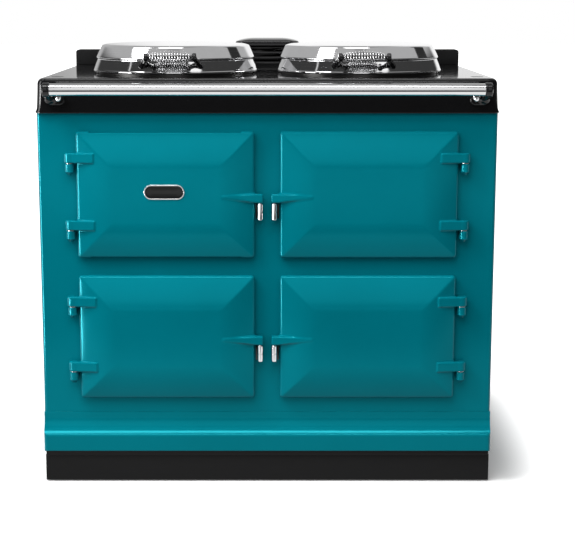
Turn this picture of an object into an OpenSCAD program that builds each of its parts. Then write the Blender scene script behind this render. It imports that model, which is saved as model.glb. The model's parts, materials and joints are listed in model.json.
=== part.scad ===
// Cast iron range cooker: four enamelled doors, two domed insulated lids, a towel rail
// and a louvred vent. Millimetres, +Z up, the front faces -Y, +X is the right-hand side
// seen from the front. The origin is on the floor, under the middle of the outer box.

/* [Body] */
// Width of the enamelled body
body_w = 987; // [960:1:1040]
// Height of the black fascia of the top casting
fascia_h = 74; // [66:1:78]
// Thickness of the top casting's plate and walls
plate_t = 12; // [9:1:14]
// How far the flat cooking surface stops short of the body's side
plate_side_inset = 14; // [10:1:18]
// How far the fascia's lip stands out beyond the body's side
lip_side = 2.5; // [1:0.5:4]
// How far the fascia's lip stands out ahead of the front panel
lip_front = 10; // [8:1:14]
// Rounded drop from the cooking surface to the fascia's face
plate_edge = 4; // [2:0.5:6]
// Thickness of the front panel casting
panel_t = 10; // [8:1:14]
// Radius of the body's upright front corners
corner_r = 8; // [5:1:12]
// Thickness of the side, rear and plinth sheets
sheet_t = 2; // [1.5:0.5:3]
// How far the rear panel lies ahead of the plate's back edge
rear_inset = 8; // [6:1:20]

/* [Skirt and plinth] */
// Height where the flared skirt meets the front panel
skirt_top_z = 158; // [152:1:170]
// Height where the skirt starts to flare
flare_z = 146; // [140:1:150]
// How far the skirt flares out ahead of the front panel
skirt_out = 18; // [12:1:22]
// Radius of the roll at the skirt's widest line
roll_r = 8; // [5:1:10]
// Height of the underside of the skirt and body
body_bottom_z = 72; // [68:1:80]
// Thickness of the base frame
base_t = 10; // [8:1:14]
// How far the base frame lies behind the skirt and the body's sides
base_inset = 4; // [3:1:8]
// How far the plinth lies behind the skirt
plinth_recess = 10; // [8:1:20]
// How far the plinth lies inside the body's sides
plinth_side = 2; // [1:0.5:4]
// Gap between the plinth and the floor
floor_gap = 3; // [2:1:6]
// Radius of a levelling foot's pad
pad_r = 25; // [18:1:30]
// Thickness of a levelling foot's pad
pad_t = 10; // [6:1:14]
// Radius of a levelling foot's stem
stem_r = 8; // [5:1:10]
// Distance of the feet from the body's sides
foot_in_x = 64; // [45:1:90]
// Distance of the feet from the plate's front and back edges
foot_in_y = 80; // [60:1:110]

/* [Doors] */
// Width of a door
door_w = 382; // [365:1:395]
// Height of a door
door_h = 274; // [262:1:284]
// Gap between the two columns of doors
door_gap_x = 54; // [48:1:64]
// Gap between the two rows of doors
door_gap_z = 38.5; // [32:0.5:45]
// Height of the bottom doors' lower edge
door_low_z = 193.5; // [185:0.5:205]
// Gap between the top doors and the fascia of the top casting
door_top_gap = 38; // [30:1:50]
// Thickness of a door's straight edge
door_edge_t = 9.7; // [7:0.1:12]
// Small bevel between the straight edge and the face
door_edge_r = 3; // [2:0.5:4]
// How far a door's middle stands ahead of the front panel
door_proud = 34; // [28:1:40]
// Width of the sloping border of a door's face
door_bevel = 70; // [55:1:80]
// Radius of a door's corners
door_corner_r = 8; // [5:1:14]
// Radius of the corners of a door's flat middle
middle_r = 20; // [12:1:30]
// Wall of a door's casting at its middle
door_wall = 6; // [4:1:8]
// Depth of the vent notches in the control door's edges
notch = 3; // [2:0.5:5]
// Thickness of the rope seal around an oven mouth
seal_t = 4; // [3:0.5:6]
// Width of the rope seal
seal_w = 10; // [7:1:12]
// Width of the bare plate on the control door
plate_w = 87; // [60:1:110]
// Height of that plate
plate_h = 32; // [20:1:44]
// How far a door laps over the side of an oven mouth
lap_x = 18.5; // [16:0.5:24]
// How far a door laps over the top and bottom of an oven mouth
lap_z = 14.5; // [13:0.5:20]
// Gap all round between a door's inner liner and the oven mouth
plug_gap = 10; // [8:1:14]
// How far an oven door's liner reaches behind the panel's face
plug_in = 18; // [12:1:24]
// How far the control door's liner reaches behind the panel's face
control_plug_in = 4; // [1:1:6]
// Thickness of a liner's steel
liner_t = 2; // [1:0.5:3]
// Width of the ledge that a liner seats on, outside the liner
liner_seat = 6; // [4:1:7]

/* [Hinges and catches] */
// Distance of the hinge axis beyond a door's edge
hinge_out = 14; // [13:1:18]
// Distance of the hinge axis ahead of the front panel
hinge_proud = 15; // [14:1:18]
// Radius of the boss on a hinge arm
boss_r = 11; // [10:0.5:12]
// Height of a hinge arm
arm_h = 21; // [18:1:24]
// Length of a hinge arm from the axis onto the door
arm_len = 54; // [45:1:65]
// Distance of the upper arm's top below a door's top edge
arm_top_in = 46; // [40:1:55]
// Distance of the lower arm's bottom above a door's bottom edge
arm_low_in = 62; // [55:1:70]
// Radius of a fixed hinge knuckle
knuckle_r = 9.5; // [8:0.5:10.5]
// Height of a fixed hinge knuckle
knuckle_h = 18; // [14:1:22]
// Radius of a door hinge pin
pin_r = 4; // [3:0.5:5]
// Depth of the pin's bore in a hinge arm
pin_in = 16; // [12:1:17]
// Radial running clearance of a pin in its bore
pin_play = 0.05; // [0.03:0.01:0.08]
// Radius of the bright collar that carries a door
collar_r = 8; // [6:0.5:9]
// Thickness of that collar
collar_t = 1.7; // [1:0.1:3]
// Gap between a resting face and its seat
seat_gap = 0.3; // [0.2:0.05:0.5]
// How far a catch lug reaches beyond a door's edge
lug_out = 18; // [17:1:20]
// Length of the lug's taper onto the door
lug_in = 69; // [50:1:80]
// Height of a catch lug
lug_h = 19; // [15:1:22]
// Distance of the lug's top above a door's middle
lug_up = 3; // [0:1:8]
// Radius of a door's chrome handle
grip_r = 6; // [5:0.5:7]
// Length of a door's chrome handle
grip_len = 35; // [28:1:45]
// Distance of the handle's axis beyond a door's edge
grip_out = 12; // [11:0.5:12.5]
// Distance of the handle's axis ahead of the front panel
grip_proud = 20; // [18:0.5:22]
// Gap between a handle and the fork of its keeper
keeper_gap = 0.6; // [0.4:0.1:1.5]
// Thickness of a keeper ahead of the front panel
keeper_t = 17; // [15:0.5:17.5]

/* [Lids and hotplates] */
// Distance of a lid's centre from the cooker's centre line
lid_x = 209; // [204:1:225]
// Distance of a lid's centre behind the plate's front edge
lid_y = 245; // [235:1:260]
// Radius of a lid's rim
lid_r = 187; // [184:1:195]
// Height of a lid's rim above the cooking surface
lid_rim_z = 4.5; // [4:0.5:5]
// Height of the ridge round a lid above the cooking surface
lid_ridge_z = 32; // [29:1:38]
// How far the lid narrows from its rim to the foot of the ridge
lid_lean = 9.5; // [6:0.5:12]
// How far the ridge stands out
lid_ridge_out = 2.5; // [1.5:0.5:4]
// Height of a lid's shoulder above the cooking surface
lid_shoulder_z = 65; // [58:1:72]
// How far the lid narrows from the ridge to its shoulder
lid_shoulder_in = 11; // [6:1:16]
// Rise of a lid's crown above its shoulder
lid_crown = 5; // [3:1:10]
// Thickness of a lid's steel
lid_t = 2; // [1.5:0.5:3]
// Radius of a hotplate
hot_r = 177; // [165:1:179]
// Thickness of a hotplate
hot_t = 42; // [30:1:44]
// How far a hotplate stands above the cooking surface
hot_up = 6; // [4:1:6]
// Gap between a hotplate and the top casting
hot_gap = 3; // [2:1:4]
// Width of the ledge that carries a hotplate
ledge_w = 17; // [12:1:25]
// Thickness of the ledge and of its round wall
ledge_t = 10; // [7:1:12]
// Distance of a lid's hinge axis behind its rim
lid_hinge_back = 38; // [36:1:46]
// Height of a lid's hinge axis above the cooking surface
lid_hinge_z = 30; // [26:1:34]
// Radius of the barrel on a lid's arm
barrel_r = 11; // [9:0.5:12]
// Length of that barrel
barrel_len = 60; // [45:1:75]
// Radius of a lid's hinge pin
lid_pin_r = 6; // [5:0.5:7]
// Thickness of an ear of a lid's pedestal
ear_t = 10; // [8:1:14]
// Thickness of a pedestal's foot
pedestal_t = 6; // [4:1:8]
// Length of the coil on a lid's handle
coil_len = 94; // [80:1:110]
// Radius of the coil at its middle
coil_mid_r = 12.5; // [11:0.5:14]
// Radius of the coil at its ends
coil_end_r = 7.5; // [7:0.5:9]
// Radius of the coil's wire
wire_r = 1.5; // [1:0.1:1.7]
// Turns in the coil
coil_turns = 15; // [10:1:20]
// Radius of the rod through the coil
rod_r = 4; // [3:0.5:4.5]
// Distance of the rod ahead of a lid's rim
rod_out = 20; // [18:1:24]
// Height of the rod above the cooking surface
rod_z = 43; // [38:1:48]
// Width of a handle bracket
bracket_w = 10; // [8:1:13]
// Height of a handle bracket
bracket_h = 17; // [14:1:20]

/* [Rail, upstand and vent] */
// Radius of the towel rail
rail_r = 13; // [11:0.5:14]
// Wall of the towel rail's tube
rail_t = 2; // [1:0.5:3]
// Distance of the rail's axis ahead of the plate's front edge
rail_out = 50; // [44:1:60]
// Distance of the rail's axis below the cooking surface
rail_down = 21; // [17:1:26]
// Distance of the rail's ends inside the body's sides
rail_in = 30.5; // [26:0.5:40]
// Radius of a rail bracket's socket
socket_r = 14.5; // [14.5:0.5:17]
// Length of a rail bracket's socket
socket_len = 15; // [12:1:18]
// Depth that the rail enters its socket
socket_in = 8; // [5:1:10]
// Width of a rail bracket's foot
rail_foot_w = 40; // [34:1:48]
// Radius of the dome nut that fixes a rail bracket
nut_r = 8.5; // [7:0.5:10]
// Radius of the plugs at the front corners of the top casting
plug_r = 13.5; // [10:0.5:16]
// Height of the upstand along the back
upstand_h = 38; // [32:1:44]
// Thickness of the upstand
upstand_t = 50; // [40:1:56]
// Radius of the upstand's top corners
upstand_r = 7; // [4:1:10]
// Width of the vent's stack
stack_w = 130; // [110:1:145]
// Depth of the vent's stack
stack_d = 63; // [54:1:68]
// Height of the vent's stack
stack_h = 48; // [44:1:54]
// Width of the vent's cap
cap_w = 164; // [150:1:180]
// Depth of the vent's cap
cap_d = 110; // [96:1:120]
// Thickness of the cap's rim
cap_t = 14; // [10:1:18]
// Rise of the cap's crown above its rim
cap_crown = 7; // [4:1:10]
// Louvre fins round the stack
fins = 4; // [3:1:5]
// Thickness of a louvre fin
fin_t = 3; // [2:0.5:3]
// Outer radius of the flue spigot
flue_r = 20; // [16:1:25]
// How far the flue spigot stands out behind the top casting
flue_out = 20; // [12:1:40]
// Height of the flue spigot's axis above the middle of the top doors
flue_up = 57; // [40:1:60]
// Radius of the hole in the mains gland
gland_r = 9; // [6:0.5:11]

/* [Ovens and controls] */
// Depth of an oven
oven_d = 489; // [440:1:505]
// Wall of an oven's box
oven_t = 8; // [6:1:10]
// Runner levels in an oven
runners = 4; // [3:1:5]
// How far a runner stands out from the oven's wall
runner_w = 8; // [6:1:12]
// Thickness of a runner
runner_t = 6; // [4:1:8]
// Radius of a shelf's frame rod
shelf_rod_r = 3; // [2.5:0.5:4]
// Radius of a shelf's wires
shelf_wire_r = 2; // [1.5:0.5:2.5]
// Side play of a shelf
shelf_play = 3; // [1:0.5:4]
// Distance of a shelf's front behind the front panel's face
shelf_front = 60; // [58:1:80]
// Depth of a shelf
shelf_d = 425; // [360:1:430]
// Thickness of an oven's heating plate
element_t = 6; // [4:1:10]
// How far the insulation stops below the fascia's lower edge
insulation_down = 23; // [16:1:33]
// Gap between the ovens' backs and the vent duct
duct_gap = 71.5; // [60:0.5:90]
// Depth of the control recess
tray_d = 24; // [20:1:30]
// Radius of a control knob
knob_r = 16; // [12:1:20]
// Spacing of the control knobs
knob_pitch = 100; // [60:1:105]
// Radius of a control's shaft
shaft_r = 3; // [2:0.5:4]
// Width of the isolator's rocker
rocker_w = 24; // [18:1:30]
// Height of the isolator's rocker
rocker_h = 15; // [12:1:20]

/* [Hidden] */

$fn = 64;
facets = 32; // sides of the round corners that are hulled
eps = 0.01; // thickness of the slices that are hulled
cut = 1; // how far a cut runs past the face that it opens

teal = [0.0, 0.42, 0.48];
black = [0.08, 0.08, 0.09];
chrome = [0.78, 0.78, 0.80];
steel = [0.62, 0.62, 0.64];
iron = [0.28, 0.28, 0.29];
wool = [0.80, 0.77, 0.66];
rope = [0.35, 0.34, 0.32];

// Depths: the outer box runs from the front of the rail's sockets to the end of the flue spigot
half_w = body_w / 2;
duct_d = stack_d - 19;
stack_gap = 2; // between the stack and the upstand
oven_back_d = lip_front - plate_edge + panel_t + oven_d + oven_t; // ovens' backs behind the plate's front
plate_d = oven_back_d + duct_gap + (duct_d + stack_d) / 2 + stack_gap + upstand_t + rear_inset;
rail_reach = rail_out + max(socket_r, rail_r);
total_d = rail_reach + plate_d + flue_out;
plate_y = rail_reach - total_d / 2; // front edge of the flat cooking surface
panel_y = plate_y - plate_edge + lip_front; // face of the front panel
panel_back_y = panel_y + panel_t;
plate_back_y = plate_y + plate_d;
rear_y = plate_back_y - rear_inset; // outside face of the rear panel
fascia_y = panel_y - lip_front;
fascia_z = door_low_z + 2 * door_h + door_gap_z + door_top_gap; // the front panel's top edge
plate_z = fascia_z + fascia_h; // the cooking surface
skirt_y = panel_y - skirt_out;
base_z = body_bottom_z - base_t;

// Doors, ovens and hinges
door_x = door_gap_x / 2 + door_w / 2;
door_edge_x = door_gap_x / 2 + door_w;
row_low_z = door_low_z + door_h / 2;
row_high_z = row_low_z + door_h + door_gap_z;
mouth_w = door_w - 2 * lap_x;
mouth_h = door_h - 2 * lap_z;
door_back = seal_t + seat_gap; // gap from the panel's face to a closed door's back
door_edge = door_back + door_edge_t + door_edge_r;
plug_w = mouth_w - 2 * plug_gap;
plug_h = mouth_h - 2 * plug_gap;
pocket = door_back + door_edge_t; // floor of the shallow pocket, ahead of the panel
hinge_x = door_edge_x + hinge_out;
hinge_y = panel_y - hinge_proud;
upper_arm = door_h / 2 - arm_top_in - arm_h; // underside of the upper arm above a door's middle
lower_arm = arm_low_in - door_h / 2; // underside of the lower arm
arm_bottoms = [upper_arm, lower_arm];
knuckle_top = -collar_t - seat_gap; // knuckle's top below an arm's underside
grip_x = door_gap_x / 2 - grip_out;
grip_y = panel_y - grip_proud;
lug_x = door_gap_x / 2 - lug_out;
lug_bottom = lug_up - lug_h;
oven_w = mouth_w + 2 * oven_t;
oven_h = mouth_h + 2 * oven_t;
oven_back_y = plate_y + oven_back_d;
runner_top = 40; // first runner's top above the oven's floor
runner_step = (mouth_h - 2 * runner_top + runner_t) / (runners - 1);
runner_in = 25; // gap between a runner's ends and the oven's front and back
shelf_z = -mouth_h / 2 + runner_top + runner_step; // a shelf rests on the second runner
element_in = 40; // an oven's heating plate stops this far from the oven's front and back
element_side = 30; // and this far from its sides
oven_vent_r = 12;
oven_vent_z = mouth_h / 2 - 2 * oven_vent_r; // vent above the oven's middle

// Controls
tray_y = panel_back_y + tray_d; // face of the recess's back plate
knob_z = row_high_z + 12;
rocker_z = row_high_z - 55;
rocker_t = 7;
rocker_pin_r = 1.5;
rocker_tilt = 10;
rocker_y = tray_y - 1;
bezel_side = 5;
bezel_proud = 5;
bezel_gap = 2;
shaft_in = 12;
thermostat_w = 44;
thermostat_t = 30;

// Lids
rim_z = plate_z + lid_rim_z;
ridge_z = plate_z + lid_ridge_z;
ridge_r = lid_r - lid_lean;
ridge_h = 5;
shoulder_z = plate_z + lid_shoulder_z;
shoulder_r = ridge_r + lid_ridge_out - lid_shoulder_in; // start of the rounded shoulder
shoulder_w = 11; // width of the rounded shoulder
shoulder_drop = 6; // height of the rounded shoulder
lid_cy = plate_y + lid_y;
lid_pivot_y = lid_cy + lid_r + lid_hinge_back;
lid_pivot_z = plate_z + lid_hinge_z;
rod_axis_y = lid_cy - lid_r - rod_out;
rod_axis_z = plate_z + rod_z;
well_r = hot_r + hot_gap;
hot_top_z = plate_z + hot_up;
ledge_z = hot_top_z - hot_t;
lid_arm_w = 40;
lid_arm_h = 14;

// Rail, upstand and vent
rail_y = plate_y - rail_out;
rail_z = plate_z - rail_down;
rail_half = half_w - rail_in;
socket_x = rail_half - socket_in;
bracket_t = 10;
bracket_z = fascia_z + 18;
bracket_foot_h = 24;
nut_x = socket_x + socket_len - 28;
nut_z = bracket_z + 0.67 * bracket_foot_h;
plug_x = half_w - 38.5;
plug_y = plate_y + 70;
plug_t = 6;
upstand_y = rear_y - upstand_t;
stack_back = upstand_y - stack_gap;
stack_y = stack_back - stack_d / 2; // middle of the stack
stack_t = 3;
fin_out = 5;
fin_pitch = (stack_h - 2 * fin_out) / (fins - 1);
duct_w = stack_w - 30;
duct_t = 2;
duct_low_z = row_low_z + 40;
branch_y = (oven_back_y + stack_y - duct_d / 2) / 2; // pipes between the ovens and the duct
branch_r = oven_vent_r - seat_gap;
flue_z = row_high_z + flue_up;
flue_neck_r = flue_r - duct_t / 2; // where the flue passes the rear panel
flue_end_y = plate_back_y + flue_out;
gland_x = -300;
gland_z = 200;
gland_wall = 3;
gland_len = 46;

module box(x0, x1, y0, y1, z0, z1) {
  translate([x0, y0, z0]) cube([x1 - x0, y1 - y0, z1 - z0]);
}

module both_sides() {
  children();
  mirror([1, 0, 0]) children();
}

// Rectangle with true round corners, centred
module round_rect(w, h, r) {
  square([w - 2 * r, h], center = true);
  square([w, h - 2 * r], center = true);
  for (x = [-1, 1], y = [-1, 1])
    translate([x * (w / 2 - r), y * (h / 2 - r)]) circle(r);
}

// Upright slab facing forward, with round corners, centred on x and z
module front_slab(x, z, w, h, y0, y1, r) {
  translate([x, y1, z]) rotate([90, 0, 0]) linear_extrude(y1 - y0) round_rect(w, h, r);
}

// Flat slab with round corners, from x = -w / 2, between y0 and y1
module flat_slab(w, y0, y1, z0, z1, r) {
  translate([0, (y0 + y1) / 2, z0]) linear_extrude(z1 - z0) round_rect(w, y1 - y0, r);
}

module rod_x(x0, x1, y, z, r) {
  translate([x0, y, z]) rotate([0, 90, 0]) cylinder(h = x1 - x0, r = r);
}

module rod_y(x, y0, y1, z, r) {
  translate([x, y0, z]) rotate([-90, 0, 0]) cylinder(h = y1 - y0, r = r);
}

// ---- body ----

module plinth_panels() {
  x = half_w - plinth_side;
  front = skirt_y + plinth_recess;
  color(black) {
    box(-x, x, front, front + sheet_t, floor_gap, base_z);
    box(-x, x, rear_y - sheet_t, rear_y, floor_gap, base_z);
    both_sides() box(x - sheet_t, x, front + sheet_t, rear_y - sheet_t, floor_gap, base_z);
  }
}

module levelling_feet() {
  stem_top = base_z + base_t - 2;
  color(steel) for (x = [-1, 1] * (half_w - foot_in_x))
    for (y = [plate_y + foot_in_y, plate_back_y - foot_in_y])
      translate([x, y, 0]) {
        cylinder(h = pad_t, r = pad_r);
        cylinder(h = stem_top, r = stem_r);
        translate([0, 0, base_z - pad_t]) cylinder(h = pad_t, r = 1.8 * stem_r, $fn = 6);
      }
}

module base_frame() {
  x = half_w - base_inset;
  color(black) difference() {
    box(-x, x, skirt_y + base_inset, rear_y, base_z, body_bottom_z);
    for (x = [-1, 1] * (half_w - foot_in_x))
      for (y = [plate_y + foot_in_y, plate_back_y - foot_in_y])
        translate([x, y, base_z - cut]) cylinder(h = base_t - 2 + cut, r = stem_r + seat_gap);
  }
}

// Outline of the body seen from above, with round front corners
module body_plan(front, back) {
  intersection() {
    union() {
      translate([-half_w, front + corner_r]) square([body_w, back - front]);
      translate([-half_w + corner_r, front]) square([body_w - 2 * corner_r, back - front]);
      for (s = [-1, 1]) translate([s * (half_w - corner_r), front + corner_r]) circle(corner_r);
    }
    translate([-half_w, front]) square([body_w, back - front]);
  }
}

module front_panel() {
  color(teal) difference() {
    translate([0, 0, skirt_top_z]) linear_extrude(fascia_z - skirt_top_z)
      body_plan(panel_y, panel_back_y);
    both_sides() for (z = [row_low_z, row_high_z])
      box(door_x - mouth_w / 2, door_x + mouth_w / 2, panel_y - cut, panel_back_y + cut,
          z - mouth_h / 2, z + mouth_h / 2);
  }
}

// Skirt section in (forward, up): a hollow flare that ends in a roll
flare_a = 48;
flare_r = skirt_out / (1 - cos(flare_a)) - roll_r;
flare_steps = 8;
roll_y = (flare_r - (flare_r + roll_r) * cos(flare_a));
roll_z = flare_z - (flare_r + roll_r) * sin(flare_a);
skirt_section = concat(
  [[-panel_t, body_bottom_z], [-panel_t, skirt_top_z], [-1, skirt_top_z], [0, skirt_top_z - 1]],
  [for (i = [0:flare_steps]) let (a = flare_a * i / flare_steps)
    [flare_r * (1 - cos(a)), flare_z - flare_r * sin(a)]],
  [for (i = [1:flare_steps]) let (a = flare_a * (1 - i / flare_steps))
    [roll_y + roll_r * cos(a), roll_z + roll_r * sin(a)]],
  [[skirt_out, body_bottom_z + 2], [skirt_out - 2, body_bottom_z]]
);

module lower_skirt() {
  color(teal) intersection() {
    translate([-half_w, panel_y, 0]) rotate([90, 0, 90])
      linear_extrude(body_w) mirror([1, 0]) polygon(skirt_section);
    translate([0, 0, body_bottom_z - cut]) linear_extrude(skirt_top_z - body_bottom_z + 2 * cut)
      body_plan(skirt_y - eps, panel_back_y + cut);
  }
}

module side_panels() {
  color(teal) both_sides()
    box(half_w - sheet_t, half_w, panel_back_y, rear_y, body_bottom_z, fascia_z);
}

module rear_panel() {
  x = half_w - sheet_t;
  color(steel) difference() {
    box(-x, x, rear_y - sheet_t, rear_y, body_bottom_z, fascia_z);
    rod_y(0, rear_y - sheet_t - cut, rear_y + cut, flue_z, flue_neck_r + seat_gap);
    rod_y(gland_x, rear_y - sheet_t - cut, rear_y + cut, gland_z, gland_r + gland_wall + seat_gap);
  }
}

// ---- top casting ----

// Thin slice of the top casting at height z, with round front corners
module plate_slice(z, x, front) {
  r = 2 * corner_r;
  translate([0, 0, z - eps]) linear_extrude(eps) {
    translate([-x, front + r]) square([2 * x, plate_back_y - front - r]);
    for (s = [-1, 1]) translate([s * (x - r), front + r]) circle(r, $fn = facets);
  }
}

module plate_outside() {
  side = half_w - 0.5;
  flare = half_w + lip_side;
  lip_up = 8;
  hull() {
    plate_slice(plate_z, half_w - plate_side_inset, plate_y);
    plate_slice(plate_z - plate_edge, half_w - 0.45 * plate_side_inset, fascia_y + 1);
    plate_slice(plate_z - 3 * plate_edge, side - 3, fascia_y);
    plate_slice(fascia_z + lip_up, side, fascia_y);
    plate_slice(fascia_z + eps, side - 1, fascia_y);
  }
  hull() {
    plate_slice(fascia_z + lip_up, side - 0.2, fascia_y + 0.2);
    plate_slice(fascia_z + 2, flare, fascia_y - eps);
    plate_slice(fascia_z + eps, flare - 1, fascia_y);
  }
}

module top_casting() {
  inner = half_w - plate_t;
  under = plate_z - plate_t;
  color(black) difference() {
    union() {
      difference() {
        plate_outside();
        box(-inner, inner, fascia_y + plate_t + 6, plate_back_y - plate_t, fascia_z - cut, under);
      }
      both_sides() translate([lid_x, lid_cy, ledge_z - ledge_t])
        cylinder(h = under - ledge_z + ledge_t + cut, r = well_r + ledge_t);
    }
    both_sides() {
      translate([lid_x, lid_cy, ledge_z]) cylinder(h = plate_z, r = well_r);
      translate([lid_x, lid_cy, fascia_z]) cylinder(h = plate_z, r = hot_r - ledge_w);
      translate([plug_x, plug_y, plate_z - plug_t]) cylinder(h = plug_t + cut, r = plug_r + 0.2);
    }
    box(-duct_w / 2 + 4, duct_w / 2 - 4, stack_y - duct_d / 2 + 4, stack_y + duct_d / 2 - 4,
        under - cut, plate_z + cut);
  }
}

// The upstand follows the casting's rounded side edges down
module rear_upstand() {
  x = half_w - 3.5;
  top = plate_z + upstand_h;
  skirt = 3 * plate_edge;
  color(black) difference() {
    translate([0, rear_y, 0]) rotate([90, 0, 0]) linear_extrude(upstand_t) union() {
      translate([-x, plate_z - skirt]) square([2 * x, skirt + upstand_h - upstand_r]);
      translate([-x + upstand_r, plate_z]) square([2 * (x - upstand_r), upstand_h]);
      for (s = [-1, 1]) translate([s * (x - upstand_r), top - upstand_r]) circle(upstand_r);
    }
    plate_outside();
  }
}

module top_plate_plugs() {
  color(black) both_sides() translate([plug_x, plug_y, plate_z - plug_t])
    cylinder(h = plug_t + 0.4, r = plug_r);
}

// ---- vent ----

module vent_stack() {
  inner_w = stack_w - 2 * stack_t;
  inner_d = stack_d - 2 * stack_t;
  color(black) difference() {
    union() {
      flat_slab(stack_w, stack_y - stack_d / 2, stack_y + stack_d / 2, plate_z, plate_z + stack_h, 4);
      for (i = [0:fins - 1])
        flat_slab(stack_w + 2 * fin_out, stack_y - stack_d / 2 - fin_out, stack_back,
                  plate_z + fin_out + i * fin_pitch, plate_z + fin_out + i * fin_pitch + fin_t, 4);
    }
    box(-inner_w / 2, inner_w / 2, stack_y - inner_d / 2, stack_y + inner_d / 2,
        plate_z - cut, plate_z + stack_h + cut);
    for (i = [0:fins - 2])
      box(-inner_w / 2 + 8, inner_w / 2 - 8, stack_y - stack_d, stack_y,
          plate_z + fin_out + i * fin_pitch + fin_t + 2, plate_z + fin_out + (i + 1) * fin_pitch - 2);
  }
}

module vent_cap() {
  base = plate_z + stack_h;
  front = stack_y - stack_d / 2 - 15;
  top = base + cap_t;
  color(black) hull() {
    flat_slab(cap_w - 8, front + 4, front + cap_d - 4, base, base + eps, 20, $fn = facets);
    flat_slab(cap_w, front, front + cap_d, base + 3, base + 5, 24, $fn = facets);
    flat_slab(cap_w - 6, front + 3, front + cap_d - 3, top - 1, top, 24, $fn = facets);
    flat_slab(cap_w - 60, front + 28, front + cap_d - 28, top + cap_crown - eps, top + cap_crown, 20,
              $fn = facets);
  }
}

module vent_manifold() {
  top = plate_z - plate_t;
  color(steel) difference() {
    union() {
      box(-duct_w / 2, duct_w / 2, stack_y - duct_d / 2, stack_y + duct_d / 2, duct_low_z, top);
      cross_ducts(0);
      oven_branches(branch_r, 0);
      rod_y(0, stack_y, rear_y + 2 * seat_gap, flue_z, flue_neck_r);
      rod_y(0, rear_y + seat_gap, flue_end_y, flue_z, flue_r);
    }
    box(-duct_w / 2 + duct_t, duct_w / 2 - duct_t, stack_y - duct_d / 2 + duct_t,
        stack_y + duct_d / 2 - duct_t, duct_low_z + duct_t, top + cut);
    cross_ducts(duct_t);
    oven_branches(branch_r - duct_t, cut);
    rod_y(0, stack_y, flue_end_y + cut, flue_z, flue_r - duct_t);
  }
}

// Square ducts across the back of the ovens, drawn in by wall on every side
module cross_ducts(wall) {
  side = branch_r + 4 - wall;
  end_x = door_x + branch_r + 6 - wall;
  for (p = [[-end_x, row_low_z], [0, row_high_z]])
    box(p[0] + (p[0] < 0 ? 0 : wall), end_x, branch_y - side, stack_y, p[1] + oven_vent_z - side,
        p[1] + oven_vent_z + side);
}

// Round branch from each oven's back wall into its cross duct
module oven_branches(r, past) {
  for (p = [[-door_x, row_low_z], [door_x, row_low_z], [door_x, row_high_z]])
    rod_y(p[0], oven_back_y - oven_t / 2 - past, branch_y, p[1] + oven_vent_z, r);
}

module mains_gland() {
  outer_r = gland_r + gland_wall;
  nut_t = 8;
  color(black) difference() {
    union() {
      rod_y(gland_x, rear_y - gland_len + 22, rear_y + 22, gland_z, outer_r);
      for (y = [rear_y - sheet_t - nut_t, rear_y])
        translate([gland_x, y, gland_z]) rotate([-90, 0, 0]) cylinder(h = nut_t, r = outer_r + 5, $fn = 6);
    }
    rod_y(gland_x, rear_y - gland_len, rear_y + gland_len, gland_z, gland_r);
  }
}

// ---- towel rail ----

module towel_rail() {
  color(chrome) difference() {
    rod_x(-rail_half, rail_half, rail_y, rail_z, rail_r);
    rod_x(-rail_half - cut, rail_half + cut, rail_y, rail_z, rail_r - rail_t);
  }
}

module rail_bracket() {
  end_x = socket_x + socket_len;
  difference() {
    union() {
      rod_x(socket_x, end_x, rail_y, rail_z, socket_r);
      hull() {
        rod_x(socket_x + 3, end_x - 1, rail_y, rail_z - 1, socket_r - 2, $fn = facets);
        front_slab(end_x - 9, bracket_z + bracket_foot_h / 2, 16, bracket_foot_h,
                   fascia_y - bracket_t, fascia_y, 6, $fn = facets);
      }
      front_slab(end_x - rail_foot_w / 2, bracket_z + bracket_foot_h / 2, rail_foot_w, bracket_foot_h,
                 fascia_y - bracket_t, fascia_y, 11);
    }
    rod_x(socket_x - cut, rail_half, rail_y, rail_z, rail_r);
  }
}

module rail_brackets() {
  color(black) both_sides() rail_bracket();
}

module rail_nuts() {
  seat = fascia_y - bracket_t;
  dome = 5; // straight part before the dome
  color(chrome) both_sides() difference() {
    union() {
      rod_y(nut_x, seat - dome, seat, nut_z, nut_r);
      translate([nut_x, seat - dome, nut_z]) sphere(nut_r);
    }
    box(nut_x - 2 * nut_r, nut_x + 2 * nut_r, seat, seat + 2 * nut_r, nut_z - 2 * nut_r, nut_z + 2 * nut_r);
  }
}

// ---- hotplates and lids ----

module hotplates() {
  color(iron) both_sides() translate([lid_x, lid_cy, ledge_z]) cylinder(h = hot_t, r = hot_r);
}

module heating_elements() {
  color(steel) {
    both_sides() translate([lid_x, lid_cy, ledge_z - ledge_t + 1])
      cylinder(h = ledge_t - 1, r = hot_r - ledge_w - 8);
    for (p = [[door_x, row_high_z], [door_x, row_low_z], [-door_x, row_low_z]])
      box(p[0] - oven_w / 2 + element_side, p[0] + oven_w / 2 - element_side, panel_back_y + element_in,
          oven_back_y - element_in, p[1] - oven_h / 2 - element_t, p[1] - oven_h / 2);
  }
}

// Lid profile in (radius, height), offset inwards by t: rolled rim, flared skirt, ridge, round
// shoulder, crown
shoulder_steps = 6;
rim_roll = 2.5; // half the height of the rolled rim
rim_in = 0.7; // how far the lid steps in above the rolled rim
function lid_profile(t) = concat(
  [[lid_r - 2 - t, rim_z], [lid_r - t, rim_z + rim_roll], [lid_r - rim_in - t, rim_z + 2 * rim_roll],
   [ridge_r - t, ridge_z], [ridge_r + lid_ridge_out - t, ridge_z + ridge_h / 2],
   [ridge_r + lid_ridge_out - t, ridge_z + ridge_h]],
  [for (i = [0:shoulder_steps]) let (a = 90 * i / shoulder_steps)
    [shoulder_r - shoulder_w * (1 - cos(a)) - t * cos(a),
     shoulder_z - shoulder_drop * (1 - sin(a)) - t * sin(a)]],
  [for (i = [1:shoulder_steps]) let (u = 1 - i / shoulder_steps)
    [(shoulder_r - shoulder_w) * u, shoulder_z + lid_crown * (1 - u * u) - t]]
);

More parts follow.
